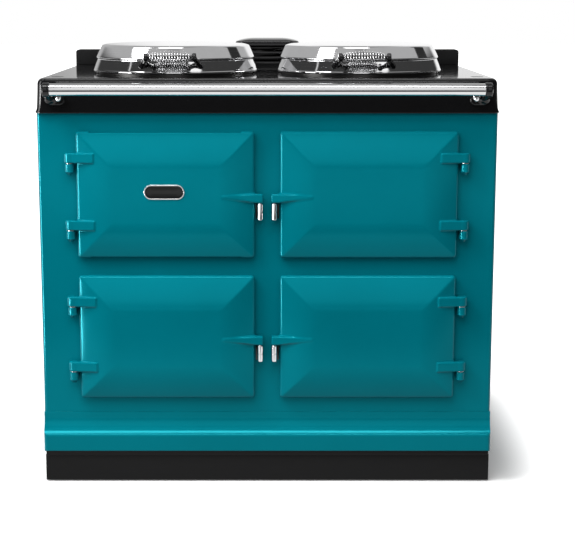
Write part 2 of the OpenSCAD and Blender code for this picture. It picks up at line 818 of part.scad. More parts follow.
module lid_solid(x) {
  translate([x, lid_cy, 0]) rotate_extrude() polygon(concat(lid_profile(0), [[0, rim_z]]));
}

// Section of the flat pan that closes a lid below and rests on the hotplate
pan_z = hot_top_z + seat_gap;
pan_rim_z = max(pan_z + 1, rim_z + rim_roll);
module lid_pan() {
  rim = lid_r - rim_in - lid_t - seat_gap;
  bend = hot_r - 3; // where the pan turns up to its rim
  polygon([[0, pan_z], [bend, pan_z], [bend + 3, pan_rim_z], [rim, pan_rim_z], [rim, pan_rim_z + lid_t],
           [bend + 2, pan_rim_z + lid_t], [bend - 1, pan_z + lid_t], [0, pan_z + lid_t]]);
}

module lid_shell(x) {
  inside = lid_profile(lid_t);
  color(chrome) translate([x, lid_cy, 0]) rotate_extrude() {
    polygon(concat(lid_profile(0), [for (i = [len(inside) - 1:-1:1]) inside[i]],
                   [[inside[0][0], rim_z]]));
    lid_pan();
  }
}

module lid_wool(x) {
  slack = 3; // gap between the wool and the lid's steel
  low = pan_z + lid_t + seat_gap;
  step = pan_rim_z + lid_t + seat_gap;
  wall = ridge_r - lid_t - slack;
  foot = min(wall, hot_r - 4) - 1; // the wool's foot stands inside the pan's bend
  top = shoulder_z - lid_t - slack;
  color(wool) translate([x, lid_cy, 0]) rotate_extrude()
    polygon([[0, low], [foot, low], [foot, step], [wall, step], [wall, ridge_z],
             [shoulder_r - shoulder_w - slack, top], [0, top]]);
}

module lid_handle(x) {
  reach = coil_len / 2 + bracket_w;
  color(black) {
    rod_x(x - reach + 1, x + reach - 1, rod_axis_y, rod_axis_z, rod_r);
    difference() {
      for (s = [-1, 1]) {
        cx = x + s * (coil_len / 2 + bracket_w / 2);
        rod_x(cx - bracket_w / 2, cx + bracket_w / 2, rod_axis_y, rod_axis_z, bracket_h / 2);
        box(cx - bracket_w / 2, cx + bracket_w / 2, rod_axis_y, lid_cy - ridge_r + 30,
            rod_axis_z - bracket_h / 2, rod_axis_z);
      }
      lid_solid(x);
    }
  }
}

// Barrel-shaped coil round the handle's rod: a round ridge for each turn of the wire
ridge_steps = 6;
function coil_radius(z, half) = coil_end_r + (coil_mid_r - coil_end_r) * cos(90 * z / half);

module lid_coil(x) {
  half = coil_len / 2 - seat_gap;
  pitch = (2 * half - 2 * wire_r) / (coil_turns - 1);
  ridges = [for (i = [0:coil_turns - 1], k = [0:ridge_steps])
    let (z = -half + wire_r + i * pitch, a = -90 + 180 * k / ridge_steps)
      [coil_radius(z, half) - wire_r + wire_r * cos(a), z + wire_r * sin(a)]];
  bore_r = rod_r + 0.5;
  color(chrome) translate([x, rod_axis_y, rod_axis_z]) rotate([0, 90, 0]) rotate_extrude()
    polygon(concat([[bore_r, half], [bore_r, -half]], ridges));
}

module lid_arm(x) {
  color(black) difference() {
    union() {
      rod_x(x - barrel_len / 2, x + barrel_len / 2, lid_pivot_y, lid_pivot_z, barrel_r);
      box(x - lid_arm_w / 2, x + lid_arm_w / 2, lid_cy + ridge_r - 20, lid_pivot_y,
          lid_pivot_z - lid_arm_h / 2, lid_pivot_z + lid_arm_h / 2);
    }
    lid_solid(x);
    rod_x(x - barrel_len, x + barrel_len, lid_pivot_y, lid_pivot_z, lid_pin_r + pin_play);
  }
}

module lid_pedestals() {
  ear_in = barrel_len / 2 + 1;
  ear_r = barrel_r + 2;
  color(black) both_sides() for (s = [-1, 1]) difference() {
    x = lid_x + (s > 0 ? ear_in : -ear_in - ear_t);
    union() {
      rod_x(x, x + ear_t, lid_pivot_y, lid_pivot_z, ear_r);
      box(x, x + ear_t, lid_pivot_y - ear_r, lid_pivot_y + ear_r, plate_z, lid_pivot_z);
      box(s > 0 ? lid_x + eps : x, s > 0 ? x + ear_t : lid_x - eps, lid_pivot_y - ear_r,
          lid_pivot_y + ear_r, plate_z, plate_z + pedestal_t);
    }
    rod_x(x - cut, x + ear_t + cut, lid_pivot_y, lid_pivot_z, lid_pin_r + pin_play);
  }
}

// ---- doors, drawn for the right-hand column; z is a door's middle ----

module door_outline(z, inset, ahead) {
  front_slab(door_x, z, door_w - 2 * inset, door_h - 2 * inset, panel_y - ahead - eps, panel_y - ahead,
             inset < door_bevel ? door_corner_r : middle_r, $fn = facets);
}

module door_arm(z) {
  hull() {
    translate([hinge_x, hinge_y, z]) cylinder(h = arm_h, r = boss_r, $fn = facets);
    box(hinge_x - arm_len, hinge_x - arm_len + 2, hinge_y - boss_r - 0.6, hinge_y - 2, z, z + arm_h);
  }
  gusset = 13;
  translate([hinge_x, hinge_y - boss_r + 3, z]) rotate([90, 0, 0]) mirror([0, 0, 1])
    linear_extrude(boss_r) polygon([[-hinge_out - 1, 1], [-arm_len + 4, 1], [-hinge_out - 10, -gusset],
                                    [-hinge_out - 1, -gusset]]);
}

module door_lug(z) {
  tip = lug_x + lug_out + lug_in;
  hull() {
    front_slab(lug_x + 8, z + lug_up - lug_h / 2, 16, lug_h, grip_y - grip_r, panel_y - 8, 3, $fn = facets);
    box(lug_x + lug_out, lug_x + lug_out + 4, panel_y - door_edge - 11, panel_y - door_back - 4,
        z + lug_bottom + 1, z + lug_up - 1);
    box(tip - 2, tip, panel_y - door_proud + 0.2, panel_y - door_proud + 4, z - 8, z - 5);
  }
}

module door_shell(z) {
  color(teal) difference() {
    union() {
      hull() {
        door_outline(z, 0, door_back);
        door_outline(z, 0, door_back + door_edge_t);
        door_outline(z, door_edge_r, door_edge);
        door_outline(z, door_bevel, door_proud - eps);
      }
      for (a = arm_bottoms) door_arm(z + a);
      door_lug(z);
    }
    front_slab(door_x, z, plug_w + 2 * liner_seat, plug_h + 2 * liner_seat, panel_y - pocket,
               panel_y + cut, 4);
    front_slab(door_x, z, door_w - 2 * door_bevel - 2, door_h - 2 * door_bevel - 4,
               panel_y - door_proud + door_wall, panel_y, 4);
    for (a = arm_bottoms) translate([hinge_x, hinge_y, z + a - cut])
      cylinder(h = pin_in + cut, r = pin_r + pin_play);
  }
}

// The control door breathes through long shallow notches in its top and bottom edges
module control_door_shell(z) {
  difference() {
    door_shell(z);
    for (s = [-1, 1])
      box(door_x - door_w / 2 + 30, door_x + door_w / 2 - 27, panel_y - door_proud, panel_y,
          z + s * (door_h / 2) - notch, z + s * (door_h / 2) + notch);
  }
}

module door_liner(z, reach) {
  color(chrome) difference() {
    front_slab(door_x, z, plug_w, plug_h, panel_y - pocket, panel_y + reach, 6);
    front_slab(door_x, z, plug_w - 2 * liner_t, plug_h - 2 * liner_t, panel_y - pocket - cut,
               panel_y + reach - liner_t, 4);
  }
}

module door_handle(z, groove) {
  neck = 2;
  bottom = lug_bottom - neck - grip_len;
  mid = bottom + grip_len / 2;
  half_groove = 0.8;
  color(chrome) translate([grip_x, grip_y, z]) rotate_extrude() polygon([
    [0, bottom], [grip_r - 1, bottom], [grip_r, bottom + 1],
    [grip_r, mid - half_groove], [grip_r - groove, mid - half_groove + 0.1],
    [grip_r - groove, mid + half_groove - 0.1], [grip_r, mid + half_groove],
    [grip_r, lug_bottom - neck - 1], [grip_r - 1, lug_bottom - neck],
    [grip_r - 2, lug_bottom - neck], [grip_r - 2, lug_bottom], [0, lug_bottom]]);
}

module door_plate() {
  rim = 2.5;
  field_w = plate_w - 2 * rim;
  field_h = plate_h - 2 * rim;
  color(black) translate([-door_x - 2, panel_y - door_proud, row_high_z + 9]) rotate([90, 0, 0]) {
    linear_extrude(1.2) round_rect(field_w, field_h, field_h / 2 - eps);
    linear_extrude(2) difference() {
      round_rect(plate_w, plate_h, plate_h / 2 - eps);
      round_rect(field_w, field_h, field_h / 2 - eps);
    }
  }
}

module hinge_knuckles() {
  tip_h = 6; // cone below a knuckle
  web_w = 12;
  web_low = 4; // how far the web reaches below the knuckle
  color(teal) both_sides() for (z = [row_low_z, row_high_z], a = arm_bottoms) difference() {
    top = z + a + knuckle_top;
    union() {
      translate([hinge_x, hinge_y, top - knuckle_h]) {
        cylinder(h = knuckle_h, r = knuckle_r);
        translate([0, 0, -tip_h]) cylinder(h = tip_h, r1 = pin_r, r2 = knuckle_r);
      }
      box(hinge_x - web_w / 2, hinge_x + web_w / 2, hinge_y, panel_y, top - knuckle_h - web_low, top - 2);
    }
    translate([hinge_x, hinge_y, top - knuckle_h]) cylinder(h = knuckle_h + cut, r = pin_r);
  }
}

module hinge_pins() {
  color(steel) {
    both_sides() for (z = [row_low_z, row_high_z], a = arm_bottoms) {
      top = z + a + knuckle_top;
      translate([hinge_x, hinge_y, top - knuckle_h])
        cylinder(h = knuckle_h + collar_t + seat_gap + pin_in - 0.5, r = pin_r);
      translate([hinge_x, hinge_y, top]) cylinder(h = collar_t, r = collar_r);
    }
    both_sides() {
      reach = barrel_len / 2 + 1 + ear_t + 0.2;
      rod_x(lid_x - reach - 3, lid_x + reach + 3, lid_pivot_y, lid_pivot_z, lid_pin_r);
      for (x = [lid_x - reach - 3, lid_x + reach])
        rod_x(x, x + 3, lid_pivot_y, lid_pivot_z, lid_pin_r + 3);
    }
  }
}

module door_keepers() {
  keeper_h = grip_len - 5;
  low = lug_bottom - grip_len + 1;
  clear = 2; // gap between a keeper and the door's edge
  color(black) both_sides() for (z = [row_low_z, row_high_z]) difference() {
    box(lug_x, door_gap_x / 2 - clear, panel_y - keeper_t, panel_y, z + low, z + low + keeper_h);
    translate([grip_x, grip_y, z + low - cut]) cylinder(h = keeper_h + 2 * cut, r = grip_r + keeper_gap);
  }
}

module oven_seals() {
  color(rope) both_sides() for (z = [row_low_z, row_high_z]) difference() {
    front_slab(door_x, z, mouth_w + 2 * seal_w, mouth_h + 2 * seal_w, panel_y - seal_t, panel_y, 8);
    front_slab(door_x, z, mouth_w, mouth_h, panel_y - seal_t - cut, panel_y + cut, 2);
  }
}

// ---- ovens ----

module oven_box(x, z) {
  color(iron) difference() {
    union() {
      difference() {
        box(x - oven_w / 2, x + oven_w / 2, panel_back_y, oven_back_y, z - oven_h / 2, z + oven_h / 2);
        box(x - mouth_w / 2, x + mouth_w / 2, panel_back_y - cut, oven_back_y - oven_t,
            z - mouth_h / 2, z + mouth_h / 2);
      }
      for (i = [0:runners - 1], s = [-1, 1]) {
        top = z - mouth_h / 2 + runner_top + i * runner_step;
        wall = x + s * mouth_w / 2;
        box(min(wall, wall - s * runner_w), max(wall, wall - s * runner_w), panel_back_y + runner_in,
            oven_back_y - oven_t - runner_in, top - runner_t, top);
      }
    }
    rod_y(x, oven_back_y - oven_t - cut, oven_back_y + cut, z + oven_vent_z, oven_vent_r);
  }
}

module shelf(x, z) {
  half = mouth_w / 2 - shelf_play - shelf_rod_r;
  y0 = panel_y + shelf_front + shelf_rod_r;
  y1 = panel_y + shelf_front + shelf_d - shelf_rod_r;
  h = z + shelf_z + seat_gap + shelf_rod_r;
  wires = 12;
  color(chrome) {
    for (s = [-1, 1]) rod_y(x + s * half, y0, y1, h, shelf_rod_r);
    for (y = [y0, (y0 + y1) / 2, y1]) rod_x(x - half, x + half, y, h, shelf_rod_r);
    for (sx = [-1, 1], y = [y0, y1]) translate([x + sx * half, y, h]) sphere(shelf_rod_r);
    for (i = [1:wires]) rod_y(x - half + 2 * half * i / (wires + 1), y0, y1, h, shelf_wire_r);
  }
}

// ---- controls ----

module control_panel() {
  bezel_w = rocker_w + 2 * bezel_gap + 2 * bezel_side;
  bezel_h = rocker_h + 2 * bezel_gap + 2 * bezel_side;
  color(black) difference() {
    union() {
      difference() {
        front_slab(-door_x, row_high_z, mouth_w + 2 * liner_t, mouth_h + 2 * liner_t, panel_back_y,
                   tray_y + liner_t, 3);
        front_slab(-door_x, row_high_z, mouth_w, mouth_h, panel_back_y - cut, tray_y, 3);
      }
      difference() {
        front_slab(-door_x, row_high_z, oven_w, oven_h, panel_back_y, panel_back_y + liner_t, 3);
        front_slab(-door_x, row_high_z, mouth_w, mouth_h, panel_back_y - cut, tray_y, 3);
      }
      front_slab(-door_x, rocker_z, bezel_w, bezel_h, tray_y - bezel_proud, tray_y + liner_t, 2);
    }
    for (i = [-1:1])
      rod_y(-door_x + i * knob_pitch, tray_y - cut, tray_y + liner_t + cut, knob_z, shaft_r + pin_play);
    box(-door_x - rocker_w / 2 - 0.5, -door_x + rocker_w / 2 + 0.5, tray_y - bezel_proud - cut,
        tray_y + liner_t + cut, rocker_z - rocker_h / 2 - bezel_gap, rocker_z + rocker_h / 2 + bezel_gap);
    rod_x(-door_x - rocker_w / 2 - 4, -door_x + rocker_w / 2 + 4, rocker_y, rocker_z,
          rocker_pin_r + pin_play);
  }
}

module control_knob(i) {
  front = panel_back_y;
  length = tray_d - seat_gap;
  color(black) translate([-door_x + i * knob_pitch, front, knob_z]) {
    difference() {
      rotate([-90, 0, 0]) rotate_extrude() polygon([[0, 2], [knob_r - 3, 2], [knob_r - 1, 4],
        [knob_r - 1, length - 6], [knob_r, length - 5], [knob_r, length], [0, length]]);
      for (s = [-1, 1]) box(s > 0 ? 4 : -knob_r - cut, s > 0 ? knob_r + cut : -4, -cut, length - 8,
                            -knob_r - cut, knob_r + cut);
    }
    rotate([-90, 0, 0]) cylinder(h = length + liner_t + seat_gap + shaft_in - 1, r = shaft_r);
  }
}

module isolator_rocker() {
  color(black) translate([-door_x, rocker_y, rocker_z]) rotate([-rocker_tilt, 0, 0]) {
    cube([rocker_w, rocker_t, rocker_h], center = true);
    rod_x(-rocker_w / 2 - 3.5, rocker_w / 2 + 3.5, 0, 0, rocker_pin_r);
  }
}

module thermostats() {
  back = tray_y + liner_t;
  color(steel) for (i = [-1:1]) translate([-door_x + i * knob_pitch, back, knob_z]) difference() {
    box(-thermostat_w / 2, thermostat_w / 2, 0, thermostat_t, -thermostat_w / 2, thermostat_w / 2);
    rotate([-90, 0, 0]) translate([0, 0, -cut]) cylinder(h = shaft_in + cut, r = shaft_r + pin_play);
  }
}

module insulation() {
  x = half_w - sheet_t - seat_gap;
  clear = seat_gap;
  color(wool) difference() {
    box(-x, x, panel_back_y, oven_back_y, body_bottom_z, fascia_z - insulation_down);
    both_sides() for (z = [row_low_z, row_high_z])
      box(door_x - oven_w / 2 - clear, door_x + oven_w / 2 + clear, panel_back_y - cut, oven_back_y + cut,
          z - oven_h / 2 - element_t - clear, z + oven_h / 2 + clear);
  }
}

plinth_panels();
levelling_feet();
base_frame();
front_panel();
lower_skirt();
side_panels();
rear_panel();
top_casting();
rear_upstand();
vent_stack();
vent_cap();
towel_rail();
rail_brackets();
rail_nuts();
top_plate_plugs();
hotplates();
heating_elements();
lid_shell(-lid_x);  // lid_left_shell
lid_wool(-lid_x);  // lid_left_insulation
lid_handle(-lid_x);  // lid_left_handle
lid_coil(-lid_x);  // lid_left_coil
lid_arm(-lid_x);  // lid_left_arm
lid_shell(lid_x);  // lid_right_shell
lid_wool(lid_x);  // lid_right_insulation
lid_handle(lid_x);  // lid_right_handle
lid_coil(lid_x);  // lid_right_coil
lid_arm(lid_x);  // lid_right_arm
lid_pedestals();
hinge_pins();
hinge_knuckles();
door_keepers();
oven_seals();
mirror([1, 0, 0]) control_door_shell(row_high_z);  // door_top_left
door_shell(row_high_z);  // door_top_right
mirror([1, 0, 0]) door_shell(row_low_z);  // door_bottom_left
door_shell(row_low_z);  // door_bottom_right
mirror([1, 0, 0]) door_liner(row_high_z, control_plug_in);  // liner_top_left
door_liner(row_high_z, plug_in);  // liner_top_right
mirror([1, 0, 0]) door_liner(row_low_z, plug_in);  // liner_bottom_left
door_liner(row_low_z, plug_in);  // liner_bottom_right
mirror([1, 0, 0]) door_handle(row_high_z, 1);  // handle_top_left
door_handle(row_high_z, 1);  // handle_top_right
mirror([1, 0, 0]) door_handle(row_low_z, 0.3);  // handle_bottom_left
door_handle(row_low_z, 0.3);  // handle_bottom_right
door_plate();
oven_box(door_x, row_high_z);  // roasting_oven
oven_box(door_x, row_low_z);  // baking_oven
oven_box(-door_x, row_low_z);  // simmering_oven
shelf(door_x, row_high_z);  // shelf_roasting
shelf(door_x, row_low_z);  // shelf_baking
shelf(-door_x, row_low_z);  // shelf_simmering
control_panel();
control_knob(-1);  // control_knob_1
control_knob(0);  // control_knob_2
control_knob(1);  // control_knob_3
isolator_rocker();
thermostats();
insulation();
vent_manifold();
mains_gland();
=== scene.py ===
"""Cast iron range cooker: enamelled castings, chrome lids and rail, dressed over its measured solids."""
import json
import math
import bmesh
import bpy
import numpy as np
from mathutils import Matrix, Vector


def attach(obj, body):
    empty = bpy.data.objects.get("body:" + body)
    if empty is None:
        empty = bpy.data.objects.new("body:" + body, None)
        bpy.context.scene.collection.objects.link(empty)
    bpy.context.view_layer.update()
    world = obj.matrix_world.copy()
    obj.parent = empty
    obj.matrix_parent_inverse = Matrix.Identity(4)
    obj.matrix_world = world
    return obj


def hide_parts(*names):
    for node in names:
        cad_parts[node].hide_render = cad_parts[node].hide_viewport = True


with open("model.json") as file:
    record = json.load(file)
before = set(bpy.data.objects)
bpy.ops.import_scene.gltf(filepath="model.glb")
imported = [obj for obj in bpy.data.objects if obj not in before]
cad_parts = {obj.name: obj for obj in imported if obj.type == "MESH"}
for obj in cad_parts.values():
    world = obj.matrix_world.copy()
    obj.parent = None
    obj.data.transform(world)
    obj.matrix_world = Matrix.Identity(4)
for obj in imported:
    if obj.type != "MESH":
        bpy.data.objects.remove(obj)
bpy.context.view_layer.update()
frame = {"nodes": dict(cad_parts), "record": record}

MM = 0.001
# Measures in millimetres: +Z up, the front faces -Y, the floor is Z 0
HALF_W = 493.5
CORNER_R = 8.0
PANEL_Y = -320.75
PANEL_BACK_Y = -310.75
FASCIA_Y = -330.75
FASCIA_Z = 818.0
PLATE_Y = -326.75
PLATE_BACK_Y = 371.25
PLATE_Z = 892.0
PLATE_UNDER_Z = 880.0
PLATE_CORNER_R = 16.0
REAR_Y = 363.25
BODY_Z = 72.0
SKIRT_TOP_Z = 158.0
FLARE_Z = 146.0
SKIRT_OUT = 18.0
ROLL_R = 8.0
ROW_LOW_Z = 330.5
ROW_HIGH_Z = 643.0
DOOR_X = 218.0
DOOR_W = 382.0
DOOR_H = 274.0
DOOR_BACK = 4.3
DOOR_EDGE = 17.0
DOOR_PROUD = 34.0
SLOPE_W = 78.0
POCKET = 14.0
MOUTH_W = 345.0
MOUTH_H = 245.0
LINER_W = 325.0
LINER_H = 225.0
HINGE_X = 423.0
HINGE_AHEAD = 15.0
ARM_BOTTOMS = (70.0, -75.0)
ARM_H = 21.0
GRIP_X = 15.0
GRIP_AHEAD = 20.0
LID_X = 209.0
LID_Y = -81.75
WELL_R = 180.0
WELL_FLOOR_Z = 856.0
HOT_TOP_Z = 898.0
ROD_Y = -288.75
ROD_Z = 935.0
COIL_LEN = 94.0
PLUG_X = 455.0
PLUG_Y = -256.75
RAIL_Y = -376.75
RAIL_Z = 871.0
RAIL_R = 13.0
STACK_Y = 279.75
WHITE = (1, 1, 1, 1)


# ---------------------------------------------------------------- shader tools

class Nodes:
    """Adds shader nodes to one tree; their inputs take plain values or other nodes' outputs."""

    def __init__(self, tree):
        self.tree = tree

    def feed(self, socket, value):
        if isinstance(value, bpy.types.NodeSocket):
            self.tree.links.new(value, socket)
        else:
            socket.default_value = value

    def add(self, kind, values=None, **settings):
        made = self.tree.nodes.new(kind)
        for name, value in settings.items():
            setattr(made, name, value)
        for name, value in (values or {}).items():
            self.feed(made.inputs[name], value)
        return made

    def calc(self, operation, *values):
        return self.add("ShaderNodeMath", dict(enumerate(values)), operation=operation).outputs[0]

    def spread(self, value, low, high, start=0.3, stop=0.7, **settings):
        """Maps a value between start and stop to low and high."""
        ends = {"Value": value, "From Min": start, "From Max": stop, "To Min": low, "To Max": high}
        return self.add("ShaderNodeMapRange", ends, **settings).outputs["Result"]

    def rise(self, value, start, stop, low=0.0, high=1.0):
        """A smooth step from low to high."""
        return self.spread(value, low, high, start, stop, interpolation_type="SMOOTHSTEP")

    def between(self, value, low, high, soft):
        up = self.rise(value, low - soft, low + soft)
        return self.calc("MULTIPLY", up, self.rise(value, high - soft, high + soft, 1.0, 0.0))

    def shade(self, share, value, other):
        """other where share is 0, value where it is 1."""
        kept = self.calc("MULTIPLY", self.calc("SUBTRACT", 1.0, share), other)
        return self.calc("ADD", kept, self.calc("MULTIPLY", share, value))

    def split(self, vector):
        return self.add("ShaderNodeSeparateXYZ", {0: vector}).outputs

    def seen_directly(self, rays):
        return self.calc("MAXIMUM", rays["Is Camera Ray"], rays["Is Transmission Ray"])


class Look(Nodes):
    """A Principled material whose colour, roughness and relief vary over the piece."""

    def __init__(self, name, color, roughness, metallic=0.0, **constants):
        self.material = bpy.data.materials.new(name)
        self.material.use_nodes = True
        self.material.diffuse_color = (*color, 1)
        super().__init__(self.material.node_tree)
        self.set(Base_Color=(*color, 1), Roughness=roughness, Metallic=metallic, **constants)

    def set(self, **values):
        """Sets or feeds the shader's sockets; an underscore stands for a blank."""
        sockets = self.tree.nodes["Principled BSDF"].inputs
        for name, value in values.items():
            self.feed(sockets[name.replace("_", " ")], value)

    def place(self, centre=(0, 0, 0), scale=(1, 1, 1)):
        """Object coordinates in metres about a centre, scaled along each axis."""
        coords = self.add("ShaderNodeTexCoord").outputs["Object"]
        centre = [c * MM for c in centre]
        shifted = self.add("ShaderNodeVectorMath", {0: coords, 1: centre}, operation="SUBTRACT")
        scaled = self.add("ShaderNodeVectorMath", {0: shifted.outputs[0], 1: scale}, operation="MULTIPLY")
        return scaled.outputs[0]

    def noise(self, scale, detail=3.0, rough=0.5, stretch=(1, 1, 1)):
        values = {"Vector": self.place(scale=stretch), "Scale": scale, "Detail": detail, "Roughness": rough}
        return self.add("ShaderNodeTexNoise", values).outputs["Fac"]

    def blend(self, factor, first, second):
        colors = {"Factor": factor, "A": (*first, 1), "B": (*second, 1)}
        return self.add("ShaderNodeMix", colors, data_type="RGBA").outputs["Result"]

    def bump(self, height, depth_mm, earlier=None):
        """A bump of that depth in millimetres, over an earlier one if there is one."""
        values = {"Height": height, "Strength": 1.0, "Distance": depth_mm * MM}
        if earlier is not None:
            values["Normal"] = earlier
        return self.add("ShaderNodeBump", values).outputs["Normal"]


def tone(color, share):
    return tuple(min(1.0, c * share) for c in color)


# ---------------------------------------------------------------- materials

def make_enamel(name, color, peel_mm, gloss, level, tint=(1, 1, 1)):
    """Fired enamel: glass over colour that pools a little, with the faintest orange peel."""
    look = Look(name, color, gloss, IOR=1.5, Specular_IOR_Level=level, Specular_Tint=(*tint, 1))
    pools = look.spread(look.noise(5.0, 4.0, 0.55), 0, 1)
    haze = look.noise(60.0, 3.0, 0.6)
    cast = look.bump(look.noise(28.0, 2.0, 0.4), peel_mm * 6)
    look.set(Base_Color=look.blend(pools, tone(color, 0.955), tone(color, 1.045)),
             Roughness=look.spread(haze, gloss * 0.85, gloss * 1.15),
             Normal=look.bump(look.noise(240.0, 2.0, 0.5), peel_mm, cast))
    return look.material


def make_powder_coat(name, color, roughness, grain_mm=0.03):
    """Satin black powder coat with its fine sandy texture and faint scuffs."""
    look = Look(name, color, roughness, IOR=1.5, Specular_IOR_Level=0.16)
    scuffs = look.noise(14.0, 6.0, 0.65, (1, 1, 2.5))
    coarse = look.bump(look.noise(650.0, 3.0, 0.6), grain_mm)
    look.set(Base_Color=look.blend(look.spread(scuffs, 0, 1, 0.42, 0.75), color, tone(color, 1.35)),
             Roughness=look.spread(scuffs, roughness - 0.05, roughness + 0.09),
             Normal=look.bump(look.noise(2200.0, 2.0, 0.6), grain_mm * 0.4, coarse))
    return look.material


def make_chrome(name, color=(0.84, 0.84, 0.85), roughness=0.06):
    """Bright plate with wiping marks too faint to see as lines."""
    look = Look(name, color, roughness, 1.0)
    marks = look.noise(90.0, 5.0, 0.65, (0.25, 1, 1))
    look.set(Base_Color=look.blend(look.spread(look.noise(7.0), 0, 1), tone(color, 0.97), color),
             Roughness=look.spread(marks, roughness - 0.02, roughness + 0.045),
             Normal=look.bump(marks, 0.004))
    return look.material


def make_turned_steel(name, centre, color, roughness, ring_scale, ring_mm):
    """Metal polished on a lathe about an upright axis: faint rings, and hairlines that cross them."""
    look = Look(name, color, roughness, 1.0)
    values = {"Vector": look.place(centre), "Scale": ring_scale, "Distortion": 1.2, "Detail": 2.0}
    rings = look.add("ShaderNodeTexWave", values, wave_type="RINGS", rings_direction="Z").outputs["Fac"]
    wear = look.noise(40.0, 6.0, 0.7)
    worn_rings = look.calc("MULTIPLY", rings, wear)
    hair = look.bump(look.noise(500.0, 2.0, 0.6), ring_mm * 0.4)
    look.set(Base_Color=look.blend(look.spread(wear, 0, 1), tone(color, 0.95), color),
             Roughness=look.spread(worn_rings, roughness - 0.02, roughness + 0.07, 0.0, 0.6),
             Normal=look.bump(rings, ring_mm, hair))
    return look.material


def make_plain_steel(name, color, roughness):
    """Rolled or galvanised steel with its spangle and streaks."""
    look = Look(name, color, roughness, 1.0)
    spangle = look.add("ShaderNodeTexVoronoi", {"Vector": look.place(), "Scale": 110.0}, feature="F1")
    grey = look.add("ShaderNodeSeparateColor", {"Color": spangle.outputs["Color"]}).outputs["Red"]
    streaks = look.noise(60.0, 4.0, 0.6, (1, 1, 14))
    look.set(Base_Color=look.blend(grey, tone(color, 0.86), tone(color, 1.08)),
             Roughness=look.spread(streaks, roughness - 0.08, roughness + 0.1),
             Normal=look.bump(streaks, 0.02))
    return look.material


def make_iron(name, color, roughness, grain_mm):
    """Sand-cast iron, seasoned unevenly."""
    look = Look(name, color, roughness, 0.35, IOR=1.6)
    stain = look.noise(18.0, 7.0, 0.65)
    rust = tuple(c * s for c, s in zip(color, (1.5, 1.25, 1.1)))
    sand = look.bump(look.noise(420.0, 5.0, 0.7), grain_mm)
    pits = look.add("ShaderNodeTexVoronoi", {"Vector": look.place(), "Scale": 160.0}, feature="SMOOTH_F1")
    depth = look.spread(pits.outputs["Distance"], 0, 1, 0.0, 0.3)
    look.set(Base_Color=look.blend(look.spread(stain, 0, 1, 0.35, 0.75), color, rust),
             Roughness=look.spread(stain, roughness - 0.1, roughness + 0.12),
             Normal=look.bump(depth, grain_mm * 0.6, sand))
    return look.material


def make_fibre(name, color, dark, scale, stretch, depth_mm):
    """Felted or woven mineral fibre."""
    look = Look(name, color, 0.95, IOR=1.4, Sheen_Weight=0.25, Sheen_Roughness=0.6)
    fibres = look.noise(scale, 8.0, 0.75, stretch)
    look.set(Base_Color=look.blend(look.spread(fibres, 0, 1), dark, color),
             Normal=look.bump(fibres, depth_mm))
    return look.material


def make_plastic(name, color, roughness):
    """Moulded plastic with a fine spark-eroded grain."""
    look = Look(name, color, roughness, IOR=1.48)
    rub = look.noise(35.0, 4.0, 0.6)
    look.set(Base_Color=look.blend(look.spread(rub, 0, 1), color, tone(color, 1.25)),
             Roughness=look.spread(rub, roughness - 0.06, roughness + 0.08),
             Normal=look.bump(look.noise(1500.0, 3.0, 0.6), 0.02))
    return look.material


TEAL = (0.0, 0.165, 0.212)
BLACK = (0.0055, 0.0055, 0.006)
SIDES = (("left", -1), ("right", 1))
teal_enamel = make_enamel("teal enamel", TEAL, 0.006, 0.13, 0.5, (0.05, 0.88, 1.0))
dark_coat = make_powder_coat("dark coat", (0.018, 0.018, 0.019), 0.5)
pin_steel = make_chrome("pin steel", (0.5, 0.5, 0.5), 0.2)
pointer_white = make_plastic("pointer white", (0.72, 0.72, 0.7), 0.4)
lid_steel = {}
hotplate_iron = {}
for side, sign in SIDES:
    axis = (sign * LID_X, LID_Y, 0)
    lid_steel[side] = make_turned_steel(f"lid steel {side}", axis, (0.86, 0.86, 0.87), 0.035, 130.0, 0.0003)
    hotplate_iron[side] = make_turned_steel(f"hotplate iron {side}", axis, (0.13, 0.128, 0.125), 0.36,
                                            160.0, 0.02)

SLOT_MATERIALS = {
    "teal_enamel": teal_enamel,
    "teal_casting": teal_enamel,
    "black_enamel": make_enamel("black enamel", BLACK, 0.006, 0.07, 0.4),
    "black_sheet": make_powder_coat("black sheet", (0.007, 0.007, 0.0073), 0.36),
    "black_fitting": make_enamel("black fitting", (0.006, 0.006, 0.0065), 0.003, 0.1, 0.45),
    "chrome": make_chrome("chrome"),
    "polished_steel": make_chrome("liner steel", (0.74, 0.74, 0.75), 0.24),
    "plain_steel": make_plain_steel("plain steel", (0.52, 0.53, 0.54), 0.38),
    "hotplate_iron": hotplate_iron["left"],
    "oven_iron": make_iron("oven iron", (0.045, 0.043, 0.042), 0.6, 0.12),
    "wool": make_fibre("wool", (0.62, 0.55, 0.38), (0.42, 0.36, 0.23), 180.0, (1, 1, 0.4), 0.8),
    "seal_rope": make_fibre("seal rope", (0.15, 0.145, 0.13), (0.05, 0.048, 0.044), 1500.0, (1, 1, 1), 0.12),
    "knob_plastic": make_plastic("knob plastic", (0.013, 0.013, 0.014), 0.38),
}
for subpart in frame["record"]["subparts"]:
    for material_slot in frame["nodes"][subpart["node"]].material_slots:
        material_slot.link = "OBJECT"
        material_slot.material = SLOT_MATERIALS[subpart["material_slot"]]


# ---------------------------------------------------------------- mesh tools

def new_mesh(name, shape, fix_normals=True):
    """A mesh from vertices in millimetres and faces, its faces turned outward where asked."""
    verts, faces = shape
    mesh = bpy.data.meshes.new(name)
    mesh.from_pydata((np.asarray(verts, dtype=float) * MM).tolist(), [], [list(f) for f in faces])
    if fix_normals:
        work = bmesh.new()
        work.from_mesh(mesh)
        bmesh.ops.recalc_face_normals(work, faces=work.faces)
        work.to_mesh(mesh)
        work.free()
    return mesh


